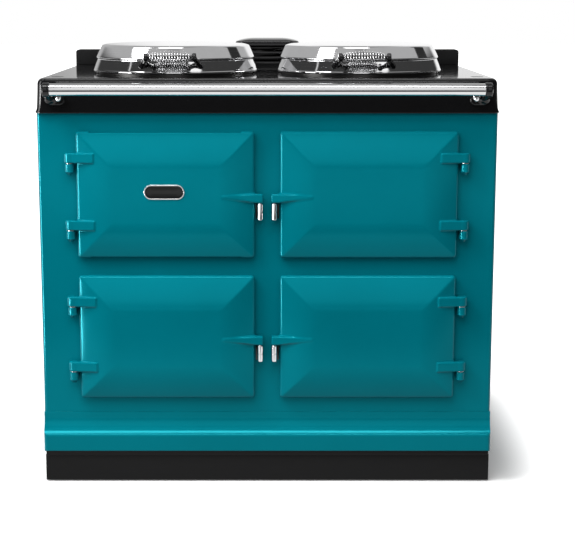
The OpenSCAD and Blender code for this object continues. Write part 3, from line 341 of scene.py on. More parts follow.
def add_piece(name, mesh, slot, nodes=(), body="cooker", material=None, flat_first=False, sharp=None):
    """Links a mesh, rides it on its body and hides the nodes that it stands for."""
    mesh.materials.clear()
    mesh.materials.append(material or SLOT_MATERIALS[slot])
    mesh.shade_smooth()
    if sharp is not None:
        mesh.set_sharp_from_angle(angle=math.radians(sharp))
    piece = bpy.data.objects.new(name, mesh)
    bpy.context.scene.collection.objects.link(piece)
    if flat_first:
        weigh = piece.modifiers.new("flats first", "WEIGHTED_NORMAL")
        weigh.keep_sharp = True
        weigh.weight = 90
    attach(piece, body)
    if nodes:
        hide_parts(*nodes)
    return piece


def add_mesh(name, shape, slot, nodes=(), fix_normals=True, **settings):
    return add_piece(name, new_mesh(name, shape, fix_normals), slot, nodes, **settings)


def dress(node, slot, width_mm, segments, body="cooker", material=None):
    """Stands for a node with the same shape, its sharp edges eased as a caster or grinder would."""
    mesh = bpy.data.meshes.new(node)
    work = bmesh.new()
    work.from_mesh(frame["nodes"][node].data)
    bmesh.ops.remove_doubles(work, verts=work.verts, dist=0.004 * MM)
    bmesh.ops.dissolve_limit(work, angle_limit=math.radians(0.4), verts=work.verts, edges=work.edges)
    work.to_mesh(mesh)
    work.free()
    piece = add_piece(f"{node}_dressed", mesh, slot, (node,), body, material)
    ease = piece.modifiers.new("eased edges", "BEVEL")
    ease.width = width_mm * MM
    ease.segments = segments
    ease.limit_method = "ANGLE"
    ease.angle_limit = math.radians(32.0)
    ease.harden_normals = True
    ease.miter_outer = "MITER_ARC"


def mirrored(shape):
    """The other side's copy of a right-hand mesh."""
    verts, faces = shape
    flipped = np.array(verts, dtype=float)
    flipped[:, 0] *= -1
    return flipped, [tuple(reversed(f)) for f in faces]


def moved(shape, offset):
    return np.array(shape[0], dtype=float) + offset, shape[1]


def joined(shapes):
    """Several meshes as one list of vertices and faces."""
    verts, faces, start = [], [], 0
    for part_verts, part_faces in shapes:
        verts.append(np.asarray(part_verts, dtype=float))
        faces.extend(tuple(i + start for i in f) for f in part_faces)
        start += len(part_verts)
    return np.concatenate(verts), faces


def rounded_path(points, radii, steps=6, support=0.35):
    """A polyline with each corner rounded; points close to each arc keep the flats flat when shaded."""
    points = [np.array(p, dtype=float) for p in points]
    made = []
    for i, (corner, radius) in enumerate(zip(points, radii)):
        if i in (0, len(points) - 1) or radius <= 0:
            made.append(corner)
            continue
        back = points[i - 1] - corner
        ahead = points[i + 1] - corner
        back_len, ahead_len = np.linalg.norm(back), np.linalg.norm(ahead)
        back, ahead = back / back_len, ahead / ahead_len
        half = math.acos(max(-1.0, min(1.0, float(back @ ahead)))) / 2
        if half > math.radians(88):
            made.append(corner)
            continue
        reach = min(radius / math.tan(half), 0.46 * back_len, 0.46 * ahead_len)
        radius = reach * math.tan(half)
        middle = (back + ahead) / np.linalg.norm(back + ahead)
        centre = corner + middle * radius / math.sin(half)
        first, last = corner + back * reach, corner + ahead * reach
        gap = min(support, 0.04 * back_len, 0.04 * ahead_len)
        made.append(first + back * gap)
        a, b = first - centre, last - centre
        turn = math.acos(max(-1.0, min(1.0, float(a @ b) / radius ** 2)))
        for t in np.arange(steps + 1) / steps:
            made.append(centre + (math.sin((1 - t) * turn) * a + math.sin(t * turn) * b) / math.sin(turn))
        made.append(last + ahead * gap)
    return made


def lathe(profile, centre=(0, 0, 0), axis="z", segments=96):
    """Turns a profile of (radius, along) about an axis; ends on the axis are closed, or the profile loops."""
    angles = np.linspace(0, 2 * math.pi, segments, endpoint=False)
    verts, rings = [], []
    for radius, along in profile:
        start = len(verts)
        if radius < 1e-6:
            verts.append((0.0, 0.0, along))
            rings.append([start] * segments)
        else:
            verts.extend((radius * math.cos(a), radius * math.sin(a), along) for a in angles)
            rings.append(list(range(start, start + segments)))
    loops = profile[0][0] > 1e-6 or profile[-1][0] > 1e-6
    faces = []
    for i in range(len(rings) if loops else len(rings) - 1):
        low, high = rings[i], rings[(i + 1) % len(rings)]
        for k in range(segments):
            n = (k + 1) % segments
            face = [low[k], low[n], high[n], high[k]]
            faces.append([v for j, v in enumerate(face) if v != face[j - 1]])
    placed = np.array(verts)
    if axis == "x":
        placed = np.roll(placed, 1, axis=1)
    return placed + np.array(centre, dtype=float), faces


def rect_ring(width, height, radius, steps=6):
    """Points round a rectangle with round corners, anticlockwise."""
    radius = min(radius, width / 2 - 1e-3, height / 2 - 1e-3)
    made = []
    for quarter, (sx, sy) in enumerate(((1, 1), (-1, 1), (-1, -1), (1, -1))):
        for k in range(steps + 1):
            a = math.radians(90 * (quarter + k / steps))
            made.append((sx * (width / 2 - radius) + radius * math.cos(a),
                         sy * (height / 2 - radius) + radius * math.sin(a)))
    return made


def upright_ring(x, y, z, width, height, radius, steps):
    """A round-cornered rectangle that stands square to Y about a point."""
    return [(x + px, y, z + pz) for px, pz in rect_ring(width, height, radius, steps)]


def plan_ring(half_w, front, back, radius, steps, z):
    """The cooker's plan at a height, with its front corners round."""
    quarter = np.linspace(0, math.pi / 2, steps)
    x, y = half_w - radius, front + radius
    right = [(x + radius * math.cos(a), y - radius * math.sin(a), z) for a in quarter]
    left = [(-x, y, z) for x, y, z in reversed(right)]
    return [(half_w, back, z), *right, *left, (-half_w, back, z)]


def loft(rings, closed_ends=True, loop=False):
    """Skins rings of equally many points."""
    count = len(rings[0])
    verts = [p for ring in rings for p in ring]
    faces = []
    for i in range(len(rings) if loop else len(rings) - 1):
        low, high = i * count, ((i + 1) % len(rings)) * count
        for k in range(count):
            n = (k + 1) % count
            faces.append((low + k, low + n, high + n, high + k))
    if closed_ends and not loop:
        faces.append(tuple(reversed(range(count))))
        faces.append(tuple(range((len(rings) - 1) * count, len(rings) * count)))
    return np.array(verts, dtype=float), faces


def sweep_tube(path, radius, sides):
    """A round tube along an open path."""
    path = np.array(path, dtype=float)
    tangents = np.gradient(path, axis=0)
    tangents /= np.linalg.norm(tangents, axis=1)[:, None]
    normal = np.cross(tangents[0], (0.3, 0.2, 0.93))
    normal /= np.linalg.norm(normal)
    angles = [2 * math.pi * k / sides for k in range(sides)]
    rings = []
    for point, tangent in zip(path, tangents):
        normal = normal - tangent * (normal @ tangent)
        normal /= np.linalg.norm(normal)
        side = np.cross(tangent, normal)
        rings.append([point + radius * (math.cos(a) * normal + math.sin(a) * side) for a in angles])
    return loft(rings)


def cut_away(piece, cutters):
    """Cuts closed meshes out of a piece for good."""
    for i, shape in enumerate(cutters):
        mesh = new_mesh(f"cutter_{i}", shape)
        cutter = bpy.data.objects.new(f"cutter_{i}", mesh)
        bpy.context.scene.collection.objects.link(cutter)
        carve = piece.modifiers.new("carve", "BOOLEAN")
        carve.operation = "DIFFERENCE"
        carve.solver = "EXACT"
        carve.object = cutter
        bpy.context.view_layer.update()
        seen = piece.evaluated_get(bpy.context.evaluated_depsgraph_get())
        carved = bpy.data.meshes.new_from_object(seen)
        piece.modifiers.remove(carve)
        old = piece.data
        piece.data = carved
        bpy.data.meshes.remove(old)
        bpy.data.objects.remove(cutter)
        bpy.data.meshes.remove(mesh)


def block(x0, x1, y0, y1, z0, z1):
    verts = [(x, y, z) for z in (z0, z1) for y in (y0, y1) for x in (x0, x1)]
    faces = [(0, 2, 3, 1), (4, 5, 7, 6), (0, 1, 5, 4), (2, 6, 7, 3), (0, 4, 6, 2), (1, 3, 7, 5)]
    return np.array(verts, dtype=float), faces


# Distances in millimetres; negative inside

def smooth_min(a, b, k):
    share = np.clip(0.5 + 0.5 * (b - a) / k, 0, 1)
    return b + (a - b) * share - k * share * (1 - share)


def round_max(a, b, radius):
    """Intersection whose edge is rounded."""
    past = np.hypot(np.maximum(a + radius, 0), np.maximum(b + radius, 0))
    return np.minimum(np.maximum(a, b), -radius) + past


def rect_distance(u, v, half_u, half_v, radius):
    qu = np.abs(u) - half_u + radius
    qv = np.abs(v) - half_v + radius
    return np.hypot(np.maximum(qu, 0), np.maximum(qv, 0)) + np.minimum(np.maximum(qu, qv), 0) - radius


def box_distance(x, y, z, centre, half, radius):
    qx = np.abs(x - centre[0]) - half[0] + radius
    qy = np.abs(y - centre[1]) - half[1] + radius
    qz = np.abs(z - centre[2]) - half[2] + radius
    outside = np.sqrt(np.maximum(qx, 0) ** 2 + np.maximum(qy, 0) ** 2 + np.maximum(qz, 0) ** 2)
    return outside + np.minimum(np.maximum(np.maximum(qx, qy), qz), 0) - radius


def cylinder_distance(along, across, up, half, radius, edge):
    """Cylinder with rounded rims about the first coordinate."""
    return round_max(np.hypot(across, up) - radius, np.abs(along) - half, edge)


def tapered_distance(x, y, z, a, b, radius_a, radius_b):
    """Round-ended rod from a to b whose radius changes evenly."""
    a, b = np.array(a, dtype=float), np.array(b, dtype=float)
    d = b - a
    t = np.clip(((x - a[0]) * d[0] + (y - a[1]) * d[1] + (z - a[2]) * d[2]) / (d @ d), 0, 1)
    gap = np.sqrt((x - a[0] - d[0] * t) ** 2 + (y - a[1] - d[1] * t) ** 2 + (z - a[2] - d[2] * t) ** 2)
    return gap - radius_a - (radius_b - radius_a) * t


def surface_net(distance, low, high, cell):
    """Closed quads on a distance's zero surface, one vertex for each crossed cell, set onto the surface."""
    axes = [np.arange(a - cell, b + 2 * cell, cell) for a, b in zip(low, high)]
    grid = np.meshgrid(*axes, indexing="ij")
    values = distance(*grid)
    inside = values < 0
    counts = np.zeros([n - 1 for n in values.shape], dtype=np.int8)
    corners = [(i, j, k) for i in (0, 1) for j in (0, 1) for k in (0, 1)]
    for i, j, k in corners:
        counts += inside[i:inside.shape[0] - 1 + i, j:inside.shape[1] - 1 + j, k:inside.shape[2] - 1 + k]
    active = (counts > 0) & (counts < 8)
    index = np.full(active.shape, -1)
    index[active] = np.arange(active.sum())
    cells = np.argwhere(active)
    total = np.zeros((len(cells), 3))
    number = np.zeros(len(cells))
    for axis in range(3):
        step = np.eye(3, dtype=int)[axis]
        for corner in corners:
            if corner[axis]:
                continue
            start = cells + corner
            v0 = values[tuple(start.T)]
            v1 = values[tuple((start + step).T)]
            crossed = (v0 < 0) != (v1 < 0)
            t = np.where(crossed, v0 / np.where(crossed, v0 - v1, 1.0), 0.0)
            total += np.where(crossed[:, None], start + step * t[:, None], 0.0)
            number += crossed
    verts = np.array([a[0] for a in axes]) + total / number[:, None] * cell
    for _ in range(4):
        x, y, z = verts.T
        here = distance(x, y, z)
        h = 0.02 * cell
        slope = np.stack([
            distance(x + h, y, z) - distance(x - h, y, z),
            distance(x, y + h, z) - distance(x, y - h, z),
            distance(x, y, z + h) - distance(x, y, z - h)], axis=1) / (2 * h)
        size = np.maximum((slope ** 2).sum(1), 0.05)
        move = slope * (here / size)[:, None]
        length = np.linalg.norm(move, axis=1)
        move *= np.minimum(1.0, 0.5 * cell / np.maximum(length, 1e-9))[:, None]
        verts = verts - move
    faces = []
    for axis in range(3):
        u, v = (axis + 1) % 3, (axis + 2) % 3
        below = inside.take(range(inside.shape[axis] - 1), axis)
        above = inside.take(range(1, inside.shape[axis]), axis)
        where = np.argwhere(below != above)
        keep = (where[:, u] > 0) & (where[:, v] > 0)
        keep &= (where[:, u] < inside.shape[u] - 1) & (where[:, v] < inside.shape[v] - 1)
        where = where[keep]
        outward = below[tuple(where.T)]
        eu, ev = np.eye(3, dtype=int)[u], np.eye(3, dtype=int)[v]
        quads = np.stack([index[tuple((where - s).T)] for s in (eu + ev, ev, 0 * eu, eu)], axis=1)
        quads[~outward] = quads[~outward][:, ::-1]
        faces.extend(map(tuple, quads.tolist()))
    return verts, faces


# ---------------------------------------------------------------- doors

def door_distance(x, y, z, notched):
    """An enamelled door casting with its hinge arms and catch lug; z is measured from the door's middle."""
    ahead = PANEL_Y - y
    outline = rect_distance(x - DOOR_X, z, DOOR_W / 2, DOOR_H / 2, 8.0)
    inset = smooth_min(DOOR_W / 2 - np.abs(x - DOOR_X), DOOR_H / 2 - np.abs(z), 3.0)
    fade = np.clip(1 - inset / SLOPE_W, 0, 1.1)
    face = DOOR_EDGE + (DOOR_PROUD - DOOR_EDGE) * (1 - fade ** 1.8)
    slope = (DOOR_PROUD - DOOR_EDGE) * 1.8 / SLOPE_W * fade ** 0.8
    shape = round_max(outline, (ahead - face) / np.hypot(1, slope), 5.0)
    for bottom in ARM_BOTTOMS:
        level = z - bottom - ARM_H / 2
        lean = ahead - np.clip(HINGE_X - 6.0 - x, 0, 60) * 0.12
        plan = smooth_min(np.hypot(x - HINGE_X, ahead - HINGE_AHEAD) - 11.0,
                          rect_distance(x - (HINGE_X - 27), lean - 18.0, 27.0, 8.2, 4.0), 2.0)
        plan = round_max(plan, HINGE_X - 58 - x, 5.0)
        arm = round_max(plan, np.abs(level) - ARM_H / 2, 2.2)
        shape = smooth_min(shape, arm, 2.5)
    run = np.clip((x - 9.0) / 87.0, 0, 1)
    tall = 9.5 - 6.5 * np.clip((run - 0.2) / 0.8, 0, 1)
    middle = -6.5 + 4.5 * run
    front = 26.0 + 7.5 * run
    deep = rect_distance(ahead - (front + 8.0) / 2, z - middle, (front - 8.0) / 2, tall, 2.8)
    lug = round_max(deep, np.maximum(9.0 - x, x - 97.0), 2.2)
    shape = smooth_min(shape, lug, 4.0)
    shape = round_max(shape, DOOR_BACK - ahead, 0.8)
    pocket = np.maximum(rect_distance(x - DOOR_X, z, 168.5, 118.5, 4.0), ahead - POCKET)
    shape = round_max(shape, -pocket, 0.4)
    for bottom in ARM_BOTTOMS:
        bore = np.maximum(np.hypot(x - HINGE_X, ahead - HINGE_AHEAD) - 4.05, z - bottom - 16.0)
        shape = np.maximum(shape, -np.maximum(bore, bottom - 4.0 - z))
    if notched:
        slot = np.maximum(rect_distance(x - DOOR_X, ahead - 10, 162.5, 60.0, 1.0), 134.0 - np.abs(z))
        shape = round_max(shape, -slot, 1.2)
    return shape


door_low = (8.0, PANEL_Y - 36.0, -138.0)
door_high = (435.0, PANEL_Y - 3.0, 138.0)
door_net = 1.5
plain_door = surface_net(lambda x, y, z: door_distance(x, y, z, False), door_low, door_high, door_net)
control_door = surface_net(lambda x, y, z: door_distance(x, y, z, True), door_low, door_high, door_net)
DOORS = (
    ("top_left", control_door, -1, ROW_HIGH_Z), ("top_right", plain_door, 1, ROW_HIGH_Z),
    ("bottom_left", plain_door, -1, ROW_LOW_Z), ("bottom_right", plain_door, 1, ROW_LOW_Z),
)


def at_door(shape, hand, door_z):
    """A right-hand shape, given from its door's middle height, set where its door is."""
    shape = moved(shape, (0, 0, door_z))
    return mirrored(shape) if hand < 0 else shape


for door, casting, hand, door_z in DOORS:
    add_mesh(f"{door}_door_casting", at_door(casting, hand, door_z), "teal_casting", (f"door_{door}",),
             fix_normals=False, body=f"{door}_door")


def screw_mesh(radius, depth):
    """A pan-head screw with a cross recess, head up +Z."""
    def distance(x, y, z):
        dome = np.sqrt(x ** 2 + y ** 2 + (z + radius * 1.1) ** 2) - radius * 1.75
        head = round_max(np.maximum(dome, -z - 0.3), np.hypot(x, y) - radius, 0.25)
        cross = np.minimum(np.maximum(np.abs(x) - 0.16 * radius, np.abs(y) - 0.6 * radius),
                           np.maximum(np.abs(y) - 0.16 * radius, np.abs(x) - 0.6 * radius))
        return np.maximum(head, -np.maximum(cross, depth - z))
    reach = radius + 0.3
    return surface_net(distance, (-reach, -reach, -0.6), (reach, reach, radius), radius / 13)


screw_verts, screw_faces = screw_mesh(4.0, 0.9)


def screws(places, quarter_turns):
    """Screws at (x, y, z); their heads are turned from +Z about X, to the back or the front."""
    turn = Matrix.Rotation(math.radians(90 * quarter_turns), 3, "X")
    parts = []
    for i, spot in enumerate(places):
        spin = Matrix.Rotation(math.radians(37 * i), 3, "Z")
        parts.append((screw_verts @ np.array(turn @ spin).T + spot, screw_faces))
    return joined(parts)


TO_BACK, TO_FRONT = -1, 1


def door_liner(reach):
    """A pressed pan behind a door with an embossed field; closed, with its own thickness."""
    outside = rounded_path([(0, POCKET), (0, -reach), (24, -reach), (28, -reach + 2.5), (60, -reach + 2.5)],
                           [0, 3.0, 1.5, 1.5, 0], 6)
    inside = rounded_path([(60, -reach + 4.0), (28, -reach + 4.0), (24, -reach + 1.6), (1.6, -reach + 1.6),
                           (1.6, POCKET)], [0, 1.0, 1.0, 1.5, 0], 4)
    rings = []
    for inset, ahead in outside + inside:
        radius = max(6.0 - inset * 0.4, 2.0) + (8.0 if inset > 20 else 0)
        width, height = LINER_W - 2 * inset, LINER_H - 2 * inset
        rings.append(upright_ring(DOOR_X, PANEL_Y - ahead, 0, width, height, radius, 8))
    verts, faces = loft(rings, closed_ends=False)
    count = len(rings[0])
    turn = (len(outside) - 1) * count
    faces = [f for f in faces if not turn <= min(f) < turn + count]
    faces.append(tuple(range(turn, turn + count)))
    faces.append(tuple(reversed(range(turn + count, turn + 2 * count))))
    last = (len(rings) - 1) * count
    for k in range(count):
        n = (k + 1) % count
        faces.append((last + k, last + n, n, k))
    return verts, faces


for door, _, hand, door_z in DOORS:
    reach = 4.0 if door == "top_left" else 18.0
    heads = [(DOOR_X + sx * 150.5, PANEL_Y + reach, sz * 100.5) for sx in (-1, 1) for sz in (-1, 1)]
    heads += [(DOOR_X, PANEL_Y + reach, sz * 100.5) for sz in (-1, 1)]
    pan = at_door(door_liner(reach), hand, door_z)
    pan_screws = at_door(screws(heads, TO_BACK), hand, door_z)
    body = f"{door}_door"
    add_mesh(f"{door}_liner_pan", pan, "polished_steel", (f"liner_{door}",), body=body, flat_first=True)
    add_mesh(f"{door}_liner_screws", pan_screws, "plain_steel", body=body, material=pin_steel)

# Chrome catch handles with their necks and grooves
for door, _, hand, door_z in DOORS:
    groove = 1.2 if door.startswith("top") else 0.45
    bottom, top, neck_top = -53.0, -18.0, -16.0
    middle = (bottom + top) / 2
    profile = rounded_path([(0, bottom), (6.0, bottom), (6.0, middle - 1.1), (6.0 - groove, middle - 0.8),
                            (6.0 - groove, middle + 0.8), (6.0, middle + 1.1), (6.0, top), (4.0, top),
                            (4.0, neck_top), (0, neck_top)], [0, 1.4, 0.3, 0.2, 0.2, 0.3, 1.2, 0.3, 0, 0])
    shape = lathe(profile, (hand * GRIP_X, PANEL_Y - GRIP_AHEAD, door_z), segments=56)
    add_mesh(f"{door}_handle", shape, "chrome", (f"handle_{door}",), body=f"{door}_door", flat_first=True)

# Bare plate on the control door: a black field in a chrome rim
plate_y = PANEL_Y - DOOR_PROUD


def plate_rings(profile):
    """The plate's outline at each (inset, depth)."""
    return [upright_ring(-DOOR_X - 2.0, plate_y + depth, ROW_HIGH_Z + 9.0, 87 - 2 * inset, 32 - 2 * inset,
                         15.99 - inset, 20) for inset, depth in profile]


rim_rings = plate_rings(rounded_path([(0, 0.2), (0, -2.0), (2.6, -2.0), (2.6, -1.2)], [0, 0.9, 0.8, 0]))
rim_rings.append([(x, plate_y + 0.2, z) for x, _, z in rim_rings[-1]])
add_mesh("plate_rim", loft(rim_rings, loop=True), "black_fitting", ("door_plate",), body="top_left_door",
         material=SLOT_MATERIALS["chrome"], flat_first=True)
field = plate_rings(rounded_path([(2.0, 0.2), (2.0, -1.0), (5.0, -1.35), (13.0, -1.5)], [0, 0.3, 0.5, 0], 4))
add_mesh("plate_field", loft(field), "black_fitting", body="top_left_door", flat_first=True)


# ---------------------------------------------------------------- knuckles, keepers, pins

def knuckle_distance(x, y, z):
    """Fixed hinge knuckle; z is measured from its top, x and y from the hinge axis."""
    cup = round_max(np.hypot(x, y) - 9.5, np.maximum(z, -18.0 - z), 1.6)
    cone = np.maximum(np.hypot(x, y) - (9.0 + (z + 18.0) * 0.85), np.maximum(z + 17.0, -24.0 - z)) * 0.76
    shape = smooth_min(cup, cone, 1.5)
    web = box_distance(x, y, z, (0, 8.5, -12.0), (5.5, 7.5, 9.5), 2.0)
    shape = smooth_min(shape, web, 2.5)
    shape = round_max(shape, y - HINGE_AHEAD + 0.02, 0.2)
    return round_max(shape, -np.maximum(np.hypot(x, y) - 4.0, -18.0 - z), 0.3)


one_knuckle = surface_net(knuckle_distance, (-10, -10, -25), (10, 15.5, 0.5), 0.75)
knuckles = []
for door_z in (ROW_LOW_Z, ROW_HIGH_Z):
    for bottom in ARM_BOTTOMS:
        placed = moved(one_knuckle, (HINGE_X, PANEL_Y - HINGE_AHEAD, door_z + bottom - 2.0))
        knuckles += [placed, mirrored(placed)]
add_mesh("knuckles", joined(knuckles), "teal_casting", ("hinge_knuckles",), fix_normals=False)
dress("door_keepers", "black_fitting", 1.4, 4)
dress("hinge_pins", "plain_steel", 0.35, 2, material=pin_steel)


# ---------------------------------------------------------------- body castings and sheets

dress("side_panels", "teal_enamel", 0.5, 2)
dress("plinth_panels", "black_sheet", 0.7, 3)
dress("rear_upstand", "black_sheet", 1.2, 3)
dress("vent_stack", "black_enamel", 0.8, 3)
dress("base_frame", "black_enamel", 0.8, 2, material=SLOT_MATERIALS["black_sheet"])
dress("mains_gland", "knob_plastic", 0.6, 2)
dress("control_panel", "black_sheet", 0.6, 2, material=dark_coat)


def skirt_mesh():
    """The flared skirt's section, drawn in at each end to the body's round corner."""
    flare = math.radians(48)
    flare_r = SKIRT_OUT / (1 - math.cos(flare)) - ROLL_R
    outer_r = flare_r + ROLL_R
    roll_ahead, roll_z = flare_r - outer_r * math.cos(flare), FLARE_Z - outer_r * math.sin(flare)
    top_r, foot_r = 1.6, 3.0
    section = [(-10, BODY_Z), (-10, SKIRT_TOP_Z), (-top_r, SKIRT_TOP_Z)]
    for a in np.linspace(0.2, 1.57, 6):
        section.append((-top_r + top_r * math.sin(a), SKIRT_TOP_Z - top_r * (1 - math.cos(a))))
    for a in np.linspace(0.001, flare, 22):
        section.append((flare_r * (1 - math.cos(a)), FLARE_Z - flare_r * math.sin(a)))
    for a in np.linspace(flare - 0.05, 0.0, 14):
        section.append((roll_ahead + ROLL_R * math.cos(a), roll_z + ROLL_R * math.sin(a)))
    section += [(SKIRT_OUT - 0.05 * k, roll_z - 3 - 9 * k) for k in range(3)]
    for a in np.linspace(0, -1.57, 7):
        section.append((SKIRT_OUT - foot_r + 2.95 * math.cos(a), BODY_Z + foot_r + foot_r * math.sin(a)))
    ends = [HALF_W - CORNER_R + CORNER_R * math.sin(a) for a in np.linspace(0, math.pi / 2, 9)]
    rings = []
    for x in sorted([-x for x in ends] + [12 - HALF_W, HALF_W - 12] + ends):
        past = max(0.0, abs(x) - (HALF_W - CORNER_R))
        limit = SKIRT_OUT - (CORNER_R - math.sqrt(max(0.0, CORNER_R ** 2 - past ** 2)))
        rings.append([(x, PANEL_Y - min(ahead, limit), z) for ahead, z in section])
    return loft(rings)


def mouth_cutter(x, z):
    """An oven mouth whose front lip is rounded."""
    lip = 2.5
    path = [(0.0, PANEL_BACK_Y + 1), (0.0, PANEL_Y + lip)]
    path += [(lip * (1 - math.cos(a)), PANEL_Y + lip - lip * math.sin(a)) for a in np.linspace(0.25, 1.4, 5)]
    path.append((lip + 0.1, PANEL_Y - 1))
    return loft([upright_ring(x, y, z, MOUTH_W + 2 * grow, MOUTH_H + 2 * grow, 4 + grow, 6)
                 for grow, y in path])


add_mesh("skirt", skirt_mesh(), "teal_casting", ("lower_skirt",), flat_first=True, sharp=50)
panel_rings = []
for z, eased in ((SKIRT_TOP_Z, 0.8), (SKIRT_TOP_Z + 0.8, 0.0), (FASCIA_Z, 0.0)):
    panel_rings.append(plan_ring(HALF_W - eased, PANEL_Y + eased, PANEL_BACK_Y, CORNER_R, 9, z))
panel = add_mesh("front_casting", loft(panel_rings), "teal_casting", ("front_panel",), flat_first=True,
                 sharp=50)
cut_away(panel, [mouth_cutter(sign * DOOR_X, z) for sign in (-1, 1) for z in (ROW_LOW_Z, ROW_HIGH_Z)])


def casting_mesh():
    """Outside of the top casting: flat plate, rounded edge, fascia and a small flared lip."""
    levels = []
    for t in np.linspace(0, math.pi / 2, 12):
        drop = 14 * (1 - math.cos(t))
        ahead = 4 * math.sqrt(1 - (1 - min(1.0, drop / 5.0)) ** 2)
        levels.append((PLATE_Z - drop, 479.5 + 10.7 * math.sin(t), PLATE_Y - ahead))
    for z, x in ((860, 491.0), (840, 492.1), (829, 492.8), (825.5, 493.4), (823, 494.4), (821.3, 495.4),
                 (820, 495.9), (819, 495.8)):
        levels.append((z, x, FASCIA_Y))
    levels += [(818.3, 495.3, FASCIA_Y + 0.25), (818.0, 494.4, FASCIA_Y + 0.8)]
    return loft([plan_ring(x, front, PLATE_BACK_Y, PLATE_CORNER_R, 10, z) for z, x, front in levels])


def well_cutter(x, y, hole, edge):
    """A hotplate's seat with a softly rounded mouth and a hole through its floor."""
    mouth = [(0, 800), (hole, 800), (hole, WELL_FLOOR_Z), (WELL_R, WELL_FLOOR_Z), (WELL_R, PLATE_Z - edge)]
    for a in np.linspace(0.2, 1.45, 6):
        mouth.append((WELL_R + edge * (1 - math.cos(a)), PLATE_Z - edge + edge * math.sin(a)))
    mouth += [(WELL_R + edge + 0.2, PLATE_Z + 2), (0, PLATE_Z + 2)]
    return lathe(mouth, (x, y, 0), segments=128)


top_casting = add_mesh("top_casting_outside", casting_mesh(), "black_enamel", ("top_casting",),
                       flat_first=True)
inside_room = block(-481.5, 481.5, FASCIA_Y + 18, PLATE_BACK_Y - 12, FASCIA_Z - 2, PLATE_UNDER_Z)
cutters, collars, plugs = [], [], []
for sign in (-1, 1):
    spot = (sign * PLUG_X, PLUG_Y, 0)
    cutters.append(well_cutter(sign * LID_X, LID_Y, 160.0, 1.5))
    cutters.append(lathe([(0, 886), (13.7, 886), (13.7, 891.4), (14.3, 894), (0, 894)], spot, segments=64))
    collar = [(189, PLATE_UNDER_Z + 0.5), (189, 846.5), (188, 846), (160.2, 846), (160.2, 855.8),
              (180.2, 855.8), (180.2, PLATE_UNDER_Z + 0.5)]
    collars.append(lathe(collar, (sign * LID_X, LID_Y, 0), segments=128))
    profile = rounded_path([(0, 886.2), (13.2, 886.2), (13.4, 892.4), (6, 892.9), (0, 893.0)],
                           [0, 0.3, 0.6, 2, 0], 5)
    plugs.append(lathe(profile, spot, segments=64))
cutters.append(block(-46, 46, STACK_Y - 18, STACK_Y + 18, 870, 894))
cut_away(top_casting, [inside_room])
add_mesh("hotplate_seats", joined(collars), "black_enamel", sharp=40)
cut_away(top_casting, cutters)
add_mesh("corner_plugs", joined(plugs), "black_fitting", ("top_plate_plugs",), flat_first=True)

# Vent cap: a thick rim under a shallow dome
cap_profile = rounded_path([(60, 940), (3.5, 940), (0, 943.2), (0.4, 946.5), (4.0, 953.2), (12, 956.0)],
                           [0, 1.5, 1.6, 2.0, 2.5, 0], 5)
cap_profile += [(12 + 40 * s, 956.0 + 5.0 * (1 - (1 - s) ** 2.2)) for s in np.linspace(0.08, 1, 12)]
outlines = [((60, 20, 8, 10), 940)]
for inset, z in cap_profile[1:]:
    inset = min(inset, 52.0)
    outlines.append(((164 - 2 * inset, 110 - 2 * inset, max(24 - inset * 0.35, 2.9), 10), z))
cap_rings = [[(px, STACK_Y + 8.5 + py, z) for px, py in rect_ring(*outline)] for outline, z in outlines]
add_mesh("vent_cap_casting", loft(cap_rings), "black_enamel", ("vent_cap",), flat_first=True)

# Screws that hold the rear panel
rear_spots = [(x, REAR_Y, z) for x in (-480, 480) for z in (90, 260, 430, 600, 770)]
rear_spots += [(x, REAR_Y, z) for x in (-320, -160, 160, 320) for z in (86, 806)]
add_mesh("rear_screws", screws(rear_spots, TO_BACK), "plain_steel", fix_normals=False, material=pin_steel)


# ---------------------------------------------------------------- towel rail

rail_profile = [(11, -463), *((RAIL_R, x) for x in (-463, -462, -300, 0, 300, 462, 463)), (11, 463)]
add_mesh("rail_tube", lathe(rail_profile, (0, RAIL_Y, RAIL_Z), "x", 128), "chrome", ("towel_rail",), sharp=50)


def bracket_distance(x, y, z):
    """Right-hand rail bracket: socket, neck and a foot on the fascia."""
    socket = cylinder_distance(x - 462.5, y - RAIL_Y, z - RAIL_Z, 7.5, 14.5, 2.2)
    collar = cylinder_distance(x - 457.0, y - RAIL_Y, z - RAIL_Z, 2.0, 14.5, 1.0)
    neck = tapered_distance(x, y, z, (463.5, RAIL_Y + 3, RAIL_Z - 3), (461, FASCIA_Y - 5, 850), 9.5, 10.0)
    foot = round_max(rect_distance(x - 450, z - 848, 20.0, 12.0, 11.0), np.abs(y - FASCIA_Y + 5) - 5.0, 2.4)
    spread_foot = tapered_distance(x, y, z, (463, FASCIA_Y - 12, 846), (448, FASCIA_Y - 3, 848), 7.0, 8.0)
    shape = smooth_min(smooth_min(socket, neck, 4.0), smooth_min(foot, spread_foot, 4.0), 5.0)
    shape = smooth_min(shape, collar, 0.8)
    shape = np.maximum(shape, y - FASCIA_Y)
    shape = np.maximum(shape, RAIL_Y - 14.5 - y)
    bore = np.maximum(np.hypot(y - RAIL_Y, z - RAIL_Z) - 13.05, x - 463.0)
    return round_max(shape, -bore, 0.5)


bracket_low, bracket_high = (428.37, RAIL_Y - 15.03, 834.37), (475, FASCIA_Y + 0.5, 888)
bracket = surface_net(bracket_distance, bracket_low, bracket_high, 0.85)
add_mesh("rail_bracket_castings", joined([bracket, mirrored(bracket)]), "black_fitting", ("rail_brackets",),
         fix_normals=False)


